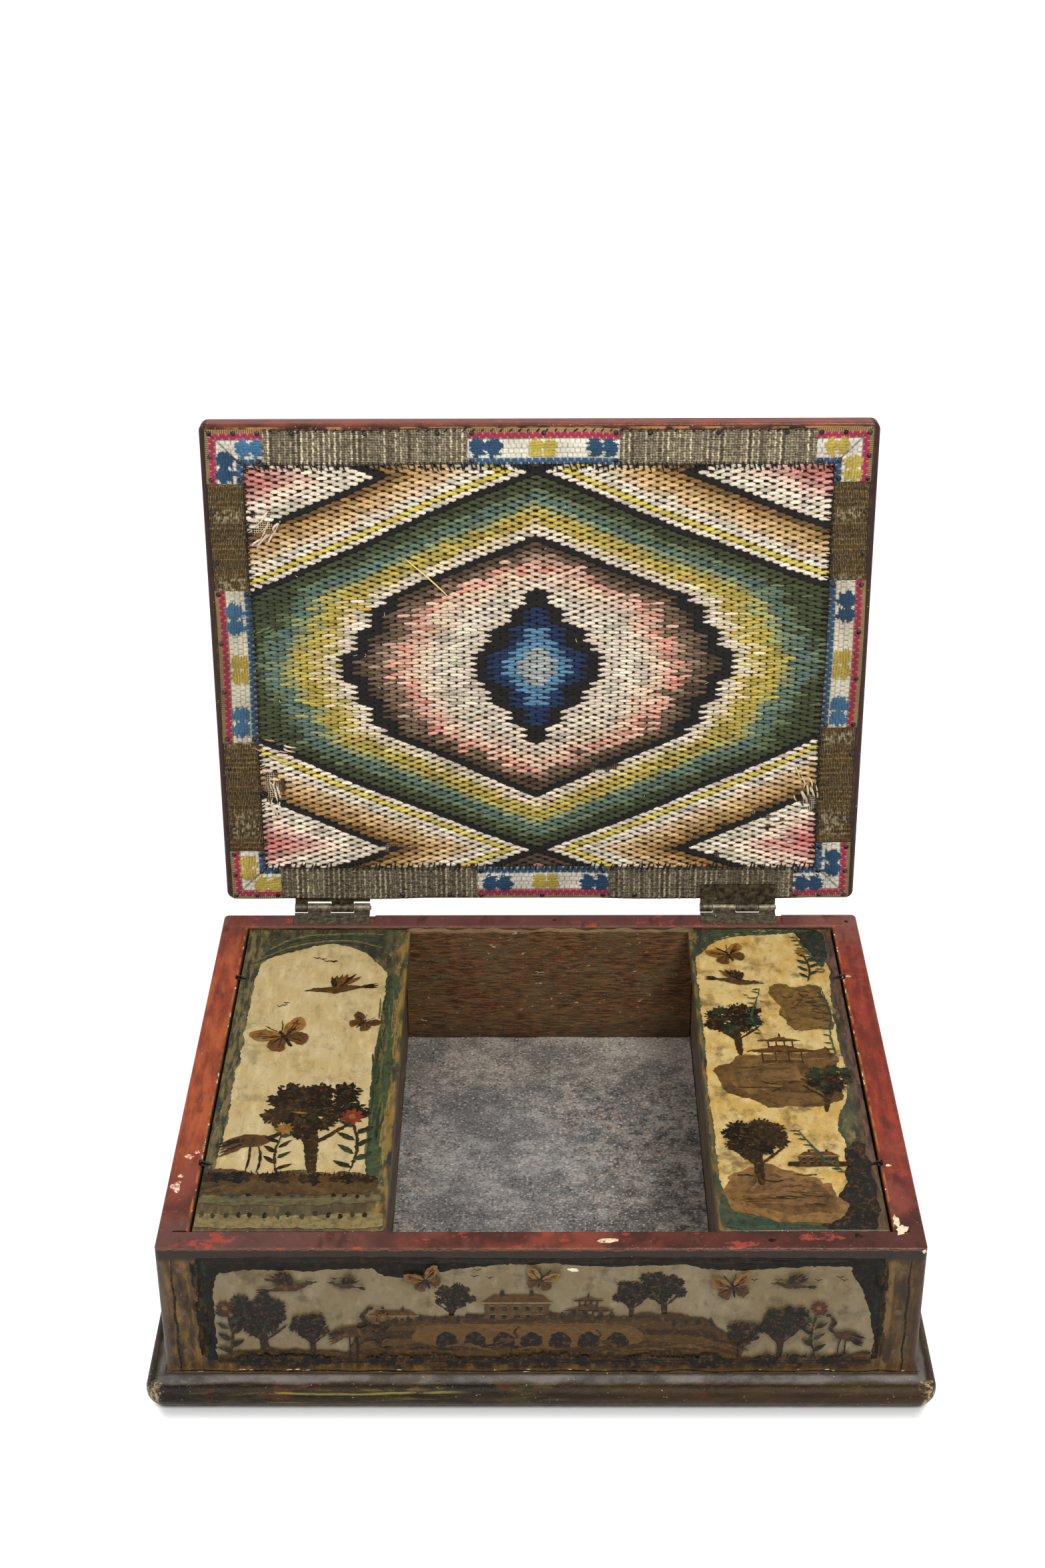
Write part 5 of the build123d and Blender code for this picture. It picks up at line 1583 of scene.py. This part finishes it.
def bank(panel, points, base, rng, tints, bands=5):
    """Earth under an uneven top line, in strips of several browns."""
    line = smooth_outline(points, 5, False)
    line[:, 1] += 0.8 * np.sin(line[:, 0] / 2.1) + rng.normal(0, 0.3, len(line))
    foot = [(line[-1, 0], base), (line[0, 0], base)]
    for k in range(bands):
        height = (line[:, 1] - base) * (1 - k / bands)
        top = np.stack([line[:, 0], base + height + 0.7 * np.sin(line[:, 0] / 7 + k * 2)], -1)
        panel.lay(np.concatenate([top, foot]), tints[k % len(tints)], 0.1)


def landscape(panel, left, right, base, rng, plan, rise=8.0):
    """A strip of dark ground with its figures; plan lists motif, place across, height, size and flip."""
    span = right - left
    top = [(left + span * k / 10, base + rise * (0.55 + 0.3 * math.sin(k * 1.3) + rng.uniform(-0.1, 0.1)))
           for k in range(11)]
    bank(panel, top, base, rng, ["#38270c", "#4f3714", "#2d1d0b", "#573c15"])
    for shapes, x, y, size, flip in plan:
        panel.paste(shapes, x, y, size, 0.0, flip)
    for k in range(5):
        panel.paste(rocks(rng, span * 0.12), left + span * (0.1 + 0.2 * k), base + 0.4)
    for y in (base + 0.8, base + 2.2):
        line = [(left, y), (left + span * 0.3, y + 0.6), (left + span * 0.7, y - 0.4), (right, y)]
        panel.lay(stroke(line, 0.7), rng.choice([INK, UMBER]))


# How bright the front's border, ground and figures are.
FRONT_TONES = (0.42, 0.69, 0.66)


def front_border(border, rng):
    """The dark painted frame of the front, lightened in part by a painted varnish sheen, with brush strokes
    that break its edges.
    """
    outline = [(-143, 77), (-70, 77.6), (0, 76.9), (70, 77.4), (142.4, 76.6), (143.2, 60), (142.6, 40),
               (143.2, 21), (100, 19.6), (20, 19.2), (-60, 19.4), (-142, 20.4), (-142.6, 40), (-143.4, 60)]
    # The frame's grey-green tints are dark paint lightened in part by a painted varnish sheen.
    border.lay(outline, "#383732", 0.12)
    for _ in range(34):
        x = rng.uniform(-140, 116)
        line = [(x, 75.5 + rng.uniform(-1.5, 1)), (x + 12, 75 + rng.uniform(-1, 1)), (x + 25, 75.4)]
        border.lay(stroke(line, 1.1), rng.choice(["#39443f", "#282622", "#473b2e", "#3d4844"]))
    for k in range(8):
        for x in (-140.5, 139.9):
            z = 22 + 6.5 * k
            line = [(x, z), (x + rng.normal(0, 0.6), 26 + 6.5 * k), (x, 31 + 6.5 * k)]
            border.lay(stroke(line, 1.7), rng.choice(["#38493f", "#2f3e39", "#262622"]))
    for _ in range(110):
        x, z = rng.choice([-142.9, 142.7]) + rng.normal(0, 0.9), rng.uniform(21, 70)
        line = [(x, z), (x + rng.normal(0, 0.5), z + 3), (x, z + rng.uniform(5, 8))]
        border.lay(stroke(line, rng.uniform(0.6, 1.5)),
                   rng.choice(["#5f4a2c", "#4c3c26", "#383732", "#2c2b26"]))
    border.make("front_border", "box", "border_paint")


def far_shore(panel, rng):
    """The bridge with trees, houses and shrubs behind it."""
    panel.paste(tree(rng, 23, "#171a0f"), -38, 40)
    panel.paste(tree(rng, 27, "#14180e"), 52, 43, flip=True)
    panel.paste(tree(rng, 22, "#14180e"), 38, 43)
    panel.paste(house(rng, 27, "#5f4526"), -10, 42)
    panel.paste(house(rng, 19, "#6a4d2a"), -62, 38, flip=True)
    panel.paste(pavilion(rng, 17), 20, 43)
    hills = [(-80, 30), (-72, 40), (-50, 45), (-20, 44), (4, 47), (28, 46), (50, 47), (72, 43), (84, 30)]
    bank(panel, hills, 19.5, rng, ["#402a0e", "#523913", "#38230c", "#5a3f16"], 7)
    deck = [(-50, 30), (-48, 40), (-10, 41.5), (36, 40.5), (40, 30), (0, 29)]
    panel.lay(ragged(deck, rng, 0.5), "#6b4c23", 0.1)
    for x in range(-40, 44, 12):
        arch = [(x - 4, 29), (x - 4, 34), (x, 37), (x + 4, 34), (x + 4, 29)]
        panel.lay(ragged(arch, rng, 0.3, 4), "#1a110a", 0.1)
    for left, right, y in ((-66, -34, 42), (4, 34, 44), (56, 74, 40)):
        for x in np.arange(left, right, 5.2):
            panel.lay(leaf(x, y + rng.normal(0, 0.4), 4.6, 1.8, UP + rng.normal(0, 0.08)), OLIVE)
    for k in range(9):
        x, wave = -56 + 15.5 * k, 2 * math.sin(k)
        line = [(x, 27 + wave), (x + 9, 28 + wave), (x + 20, 26.5)]
        panel.lay(stroke(line, 1.5), rng.choice(["#67491f", "#1a110a", "#5c3c18"]))


def front_picture():
    """The front: plants and herons before a bridge and its far shore."""
    border, ground, panel = (Panel(FRONT_PLACE, *layer) for layer in enumerate(FRONT_TONES))
    rng = np.random.default_rng(41)
    front_border(border, rng)
    ground.lay(ragged(FRONT_FIELD, rng, 0.35), PALE)
    ground.make("front_ground", "box", "ground_front")
    far_shore(panel, rng)
    panel.paste(heron(rng, 17), -14, 24)
    panel.paste(heron(rng, 15), 28, 24, flip=True)
    near = [(maker(rng, *style), x, y, 1.0, flip) for maker, style, x, y, flip in (
        (tree, (36, "#171b10"), -116, 21, False), (flower, (33, "#4e2416"), -132, 22, False),
        (tree, (25, SOOT), -96, 23, True), (heron, (30,), -80, 23, False),
        (flower, (25, "#6b4a22"), -67, 24, True), (tree, (30, "#151a10"), 101, 22, False),
        (flower, (32, "#5a2a1c"), 116, 23, True), (heron, (26,), 128, 23, True),
        (tree, (21, SOOT), 84, 22, True))]
    landscape(panel, -137, 140, 19.6, rng, near, 9.0)
    flyers = [(maker(rng, *style), x, y, 1.0, turn, flip) for maker, style, x, y, turn, flip in (
        (flying_bird, (24,), -104, 62, 0.2, False), (butterfly, (15, "#8a6432"), -48, 66, 0.4, False),
        (flying_bird, (15,), -82, 63, -0.2, True), (butterfly, (14, "#94703c"), 0, 66, -0.3, False),
        (butterfly, (17, "#8f6630"), 80, 62, 0.2, False), (flying_bird, (18,), 104, 63, -0.1, True))]
    for flyer in flyers:
        panel.paste(*flyer)
    for x, y in ((-84, 66), (-20, 69), (30, 65), (92, 66), (122, 66)):
        panel.paste(far_birds(rng, 3), x, y, 0.9)
    panel.make("front_figures", "box")


def lid_island(panel, rng):
    """A piece of land in the middle of the lid's large field."""
    island = [(-62, -8), (-40, 6), (-8, 10), (30, 7), (60, -4), (52, -18), (10, -24), (-40, -20)]
    mound(panel, island, rng, ["#5a4122", "#644a28", "#5a4122"])
    for motif, x, y in ((house(rng, 40), -8, 4), (tree(rng, 52), -44, -4), (tree(rng, 46), 38, -6)):
        panel.paste(motif, x, y)
    panel.paste(rocks(rng, 60), 2, -19)


def plain_side(name, body, place, half, low, high, seed, island=False):
    """A side that the photograph doesn't show: a long cartouche with a landscape, as on the front."""
    rng = np.random.default_rng(seed)
    limits = ((-half - 1, low - 1), (half + 1, high + 1))
    border, ground, panel = (Panel(place, layer, limits=limits) for layer in range(3))
    tall = high - low
    edge = [(-half, low), (-half * 0.5, low - 0.5), (0, low + 0.3), (half * 0.5, low - 0.3), (half, low),
            (half + 0.6, low + tall / 2), (half, high), (half * 0.4, high + 0.5), (-half * 0.5, high - 0.3),
            (-half, high), (-half - 0.5, low + tall / 2)]
    border.lay(ragged(edge, rng, 0.6), "#1f241d", 0.12)
    inner = np.array(edge) * [1 - 7 / half, 1]
    inner[:, 1] = low + 4 + (inner[:, 1] - low) * (1 - 8 / tall)
    ground.lay(ragged(inner, rng, 0.9), PALE)
    border.make(name + "_border", body, "border_paint")
    ground.make(name + "_ground", body, "ground_front")
    reach, base, size = half - 9, low + 5, min(tall / 62, 2.2)
    makers = [tree, house, pavilion, heron, tree, flower, house, tree]
    places = np.linspace(-reach * 0.85, reach * 0.85, max(4, int(reach / 17)))
    plan = [(makers[k % 8](rng), x, base + 4, size * 1.05, bool(k % 2)) for k, x in enumerate(places)]
    landscape(panel, -reach, reach, base, rng, plan)
    if island:
        lid_island(panel, rng)
    for k, x in enumerate(np.linspace(-reach * 0.7, reach * 0.7, 4)):
        flyer = butterfly(rng, 14) if k % 2 else flying_bird(rng, 19)
        panel.paste(flyer, x, high - 0.22 * tall, size, rng.normal(0, 0.3), bool(k % 3))
    panel.make(name + "_figures", body)


def pictures():
    """The pictures on both compartment lids, the box's four sides and the main lid's outer side."""
    print_paper("paper_figures", 1.0)
    print_paper("border_paint", 0.25)
    aged_ground("ground_left", "#b5a277", "#a98f58", "#73623f", 0.6, 0.5, (1, 3.4, 1))
    aged_ground("ground_right", "#c0a76e", "#b08a3c", "#654d29", 0.75, 0.85, (1, 2, 1))
    aged_ground("ground_front", "#786b51", "#6a5835", "#403220", 0.6, 0.65, (1.4, 1, 2.6))
    left_lid_picture()
    right_lid_picture()
    front_picture()
    depth, low, high = (BACK_Y - FRONT_Y) / 2, FOOT_Z + 4, RIM_Z - 5
    for seed, name, origin, across, out, half, top in (
        (3, "left_side", (-SIDE_X, 0, 0), (0, -1, 0), (-1, 0, 0), depth - 17, high),
        (4, "right_side", (SIDE_X, 0, 0), (0, 1, 0), (1, 0, 0), depth - 17, high),
        (5, "back_side", (0, BACK_Y, 0), (-1, 0, 0), (0, 1, 0), SIDE_X - 17, high - 9),
    ):
        plain_side(name, "box", (origin, across, UPWARD, out), half, low, top, seed)
    half = (LID_ENDS[1] - LID_ENDS[0]) / 2
    place = (on_lid(0.0, sum(LID_ENDS) / 2, LID_OUTER_N), ACROSS_X, -ALONG, -OUT)
    plain_side("lid_top", "main_lid", place, LID_HALF_WIDTH - 14, 14 - half, half - 14, 6, True)


# Small damage: chips of gesso, painted shade for nail holes, and cracks

# The directions across, up and out of the box's top and of its front.
TOP_WAYS = (ACROSS_X, ACROSS_Y, UPWARD)
FRONT_WAYS = FRONT_PLACE[1:]
CRACK = "#0d0a08"


def lump(bundle, centre, ways, half_x, half_y, height, tint, rng):
    """A low irregular flake with a raised middle. ways are its directions across and up, and the one out."""
    centre, across, up, out = (np.array(v, float) for v in (centre, *ways))
    rings, sides = ((1.0, 0.0), (0.8, 0.7), (0.4, 1.0)), 14
    base = blob(0, 0, half_x, half_y, rng, 0.22, sides)
    points = [centre + share * base[:, :1] * across + share * base[:, 1:] * up + out * (0.02 + height * rise)
              for share, rise in rings]
    faces = ring_faces(len(rings), sides)
    bundle.add(np.concatenate(points), faces + [list(range(2 * sides, 3 * sides))], tint=linear(tint))


def chips(rng):
    """Flakes off the rim and the front, and crumbs along the front's foot and the side rims' inner edges."""
    bundle = Bundle()
    for x, y, half_x, half_y, tint in (
        (28, -120, 4.6, 1.3, "#c9ab7d"), (26, -120.6, 2.2, 0.8, "#8a6138"),
        (150.6, -113.4, 2.4, 2.9, "#d8c5a2"), (149, -108, 1.3, 3.6, "#cdb994"),
        (-153, -66, 2.0, 1.4, "#b86a55"), (-150, -63, 1.3, 1.0, "#b5574a"), (-156, -86, 2.2, 3.4, "#b04f45"),
        (-155, -79, 1.0, 1.2, "#c49a80"), (150, 70, 1.2, 0.8, "#b08a63"), (150.5, -72, 1.2, 0.9, "#b58f6a"),
    ):
        lump(bundle, (x, y, RIM_Z), TOP_WAYS, half_x, half_y, 0.25, tint, rng)
    for x, z, half_x, half_z, tint in ((13.5, 70.5, 2.0, 1.3, "#cfcabb"), (158.4, 80.4, 0.9, 1.0, "#b59468"),
                                       (-40, 24, 0.8, 0.7, "#d8d0bd")):
        lump(bundle, (x, FRONT_Y, z), FRONT_WAYS, half_x, half_z, 0.25, tint, rng)
    for _ in range(26):
        x = rng.uniform(-155, 155)
        lump(bundle, (x, FRONT_Y, FOOT_Z + rng.uniform(0.5, 2.1)), FRONT_WAYS, rng.uniform(0.4, 1.3),
             rng.uniform(0.12, 0.3), 0.1, rng.choice(["#b8ad92", "#93845f", "#6f5d3e"]), rng)
    for k in range(26):
        place = ((-147.2 if k % 2 else 147.2), rng.uniform(-110, 110), RIM_Z)
        half, tint = rng.uniform(0.5, 2.0), rng.choice(["#c2a274", "#a36b3a"])
        lump(bundle, place, TOP_WAYS, 0.3, half, 0.1, tint, rng)
    add_piece(bundle.make("paint_chips"), "box", chalk())


def damage():
    """Chips, dark discs of painted shade for the holes of lost nails, and cracks in the front's paint."""
    rng = np.random.default_rng(23)
    chips(rng)
    holes = Bundle()
    # Flat dark discs where nails are lost: painted shade standing for the holes.
    for x, y, radius in ((7.5, 119.5, 1.0), (154.5, 118, 1.1), (96, -119.8, 1.5), (132, -117, 1.6)):
        lump(holes, (x, y, RIM_Z), TOP_WAYS, radius, radius * 0.9, 0.05, "#120c08", rng)
    cracks = Panel(FRONT_PLACE, 2)
    for x in (-153.6, 153.4):
        line = [(x + 0.35 * math.sin(k * 2.1), 14 + k * 6.2) for k in range(11)]
        cracks.lay(stroke(line, 1.0), CRACK, 0.02)
    for k in range(12):
        x = -158 + 26.5 * k
        line = [(x, 13.5 + rng.uniform(0, 0.7)), (x + 9, 14 + rng.uniform(0, 0.9)),
                (x + 18, 13.6 + rng.uniform(0, 0.8)), (x + 28, 13.8)]
        cracks.lay(stroke(line, rng.uniform(0.6, 1.1)), CRACK, 0.02)
    cracks.make("front_cracks", "box")
    add_piece(holes.make("nail_holes"), "box", FINISHES["paper_figures"])


def wavy_sheet(name, xs, ys, points, material):
    """A paper in the box from a grid of points."""
    obj = make_mesh(name, np.stack(points, -1).reshape(-1, 3), grid_faces(len(xs), len(ys)))
    return add_piece(obj, "box", material)


def well_floor():
    """The paper on the well's floor, a little wavy."""
    xs = np.linspace(FLOOR_LOW[0], FLOOR_HIGH[0], 90)
    ys = np.linspace(FLOOR_LOW[1], FLOOR_HIGH[1], 120)
    x, y = np.meshgrid(xs, ys)
    z = FLOOR_HIGH[2] + 0.16 * np.sin(x / 11) * np.cos(y / 15) + 0.12 * np.sin((x + y) / 6) + 0.2
    obj = wavy_sheet("well_paper", xs, ys, (x, y, z), floor_paper())
    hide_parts("well_lining")


def well_back():
    """Wrinkled brown paper pasted on the back of the well."""
    left, right = FLOOR_LOW[0] + 0.3, FLOOR_HIGH[0] - 0.3
    face = corners_mm("back_wall")[0][1] - 0.15
    xs = np.linspace(left, right, 110)
    zs = np.linspace(FLOOR_HIGH[2] + 0.5, RIM_Z - 1.4, 50)
    x, z = np.meshgrid(xs, zs)
    ragged_top = np.clip((z - RIM_Z + 4) / 3, 0, 1) * (0.6 * np.sin(x / 5.3) + 0.5 * np.sin(x / 2.1))
    crease = np.exp(-((z - 52 - 2.5 * np.sin(x / 17)) / 1.3) ** 2) * (0.5 + 0.5 * np.sin(x / 13))
    bulge = 0.3 + 0.25 * np.sin(x / 9) * np.sin(z / 7) + 0.55 * crease
    obj = wavy_sheet("well_back_paper", xs, zs, (x, face - bulge, z + ragged_top), back_paper())


# Stage

# The floor goes white for the camera outside a rounded outline about the plinth, sooner at its ends.
WHITE_CORE = (158.0, 123.0, 0.0)
WHITE_STRETCH = (2.2, 1.0, 0.0)
WHITE_FROM, WHITE_TO, WHITENESS = 11.0, 22.0, 0.85
# What the floor throws back, of light and into the camera.
FLOOR_TONES = (0.82, 0.55)
FLOOR_REACH, FLOOR_Z = 30000, -0.05


def studio_floor():
    """A pale floor that goes white for the camera and keeps the box's shadow."""
    corners = [(x * FLOOR_REACH, y * FLOOR_REACH, FLOOR_Z) for x, y in ((-1, -1), (1, -1), (1, 1), (-1, 1))]
    obj = make_mesh("studio_floor", corners, [[0, 1, 2, 3]])
    g = Finish("studio_floor")
    beside = g.vector("SUBTRACT", g.vector("ABSOLUTE", g.place), WHITE_CORE)
    outside = g.vector("MULTIPLY", g.vector("MAXIMUM", beside, (0, 0, 0)), WHITE_STRETCH)
    white = g.times(g.fade(g.vector("LENGTH", outside), WHITE_FROM, WHITE_TO), WHITENESS)
    camera_ray = g.node("LightPath").outputs["Is Camera Ray"]
    matt = g.node("BsdfDiffuse", {"Color": g.scale_range(camera_ray, *FLOOR_TONES)})
    glow = g.node("Emission", {"Color": (1, 1, 1, 1), "Strength": g.times(camera_ray, white)})
    both = g.node("AddShader", (matt.outputs[0], glow.outputs[0]))
    g.node("OutputMaterial", {"Surface": both.outputs[0]})
    obj.data.materials.append(g.material)


def white_world():
    """Even white light from all round, brighter for the camera."""
    world = bpy.context.scene.world = bpy.data.worlds.new("studio")
    g = Graph(world)
    strength = g.scale_range(g.node("LightPath").outputs["Is Camera Ray"], 0.5, 1.0)
    light = g.node("Background", {"Color": (1, 1, 1, 1), "Strength": strength})
    g.node("OutputWorld", {"Surface": light.outputs[0]})


def lamp(name, place, aim, size, power):
    """A square soft lamp at a place in metres, turned to its aim."""
    light = bpy.data.lights.new(name, "AREA")
    light.shape, light.size, light.size_y, light.energy = "RECTANGLE", size, size, power
    obj = bpy.data.objects.new(name, light)
    obj.location = place
    obj.rotation_euler = (Vector(aim) - Vector(place)).to_track_quat("-Z", "Y").to_euler()
    bpy.context.scene.collection.objects.link(obj)


# The photograph's height, the camera's focal length and the row of its axis, all in pixels.
IMAGE_HEIGHT = 2352
FOCAL_PIXELS = 3476.6
AXIS_ROW = 1086.7
# The camera's place, and how far it is turned down, aside and about its axis.
CAMERA_PLACE = (-0.645, -860.0, 731.2)
PITCH, YAW, ROLL = (math.radians(angle) for angle in (28.709, -0.443, 0.306))
# The width of the film that the focal length refers to.
SENSOR = 36.0


def camera():
    """The photograph's view, worked out from the box's edges in it."""
    data = bpy.data.cameras.new("view")
    data.sensor_fit = "AUTO"
    data.sensor_width = SENSOR
    data.lens = SENSOR * FOCAL_PIXELS / IMAGE_HEIGHT
    data.shift_y = (AXIS_ROW - IMAGE_HEIGHT / 2) / IMAGE_HEIGHT
    obj = bpy.data.objects.new("view", data)
    level = math.cos(PITCH)
    forward = Vector((math.sin(YAW) * level, math.cos(YAW) * level, -math.sin(PITCH)))
    right = forward.cross(Vector((0, 0, 1))).normalized()
    down = forward.cross(right)
    c, s = math.cos(ROLL), math.sin(ROLL)
    turn = Matrix((right * c + down * s, right * s - down * c, -forward)).transposed().to_4x4()
    obj.matrix_world = Matrix.Translation(Vector(CAMERA_PLACE) * MM) @ turn
    bpy.context.scene.collection.objects.link(obj)
    bpy.context.scene.camera = obj


def dress_nodes():
    """Materials of the CAD nodes that stay in view."""
    dress(wall_finish(), "front_wall", "back_wall", "left_wall", "right_wall")
    dress(bare_wood(), "left_partition", "right_partition", "bottom_board")
    dress(plinth_paint(), "plinth_front", "plinth_back", "plinth_left", "plinth_right")
    dress(board_lacquer(), "lid_board")
    for side, mirror, dark, light in (("left", -1, "#1d261f", "#76643c"), ("right", 1, "#321d17", "#684738")):
        middle = sum(corners_mm(side + "_compartment_lid"))[0] / 2
        dress(small_lid_paint(side + "_lid_paint", middle, mirror, dark, light), side + "_compartment_lid")
    for finish, *nodes in (
        (("hinge_metal", "#534b3f", "#8e8570", "#4f3d29", 0.7), "box_leaf_left", "box_leaf_right",
         "hinge_pin_left", "hinge_pin_right", "box_leaf_screws"),
        # The lid's leaves: the box leaves' metal made darker, painted shade.
        (("dark_hinge_metal", "#2c261d", "#6b614c", "#43331f", 0.7), "lid_leaf_left", "lid_leaf_right",
         "lid_leaf_screws"),
        (("tack_iron", "#171411", "#4c4740", "#3a2417", 0.6), "trim_tacks"),
        (("wire_iron", "#15110e", "#3a342c", "#33200f", 0.5), "wall_staples", "left_lid_staples",
         "right_lid_staples", "base_nails", "plinth_nails"),
        (("painted_nails", "#33240f", "#5c4423", "#2a1c10", 0.0), "wall_nails"),
    ):
        dress(iron(*finish), *nodes)


def build():
    """The whole scene, in the order that the materials need."""
    bpy.context.scene.view_settings.view_transform = "Standard"
    dress_nodes()
    stitches = needlework()
    yarns = loose_ends()
    stitched_canvas = canvas()
    trims()
    edges = overcasting()
    pictures()
    damage()
    well_floor()
    well_back()
    studio_floor()
    white_world()
    lamp("key", (0.5, -0.85, 1.4), (0, 0, 0.1), 0.6, 21)
    lamp("fill", (-1.1, -0.5, 1.1), (0, 0, 0.12), 0.9, 9)
    camera()


build()
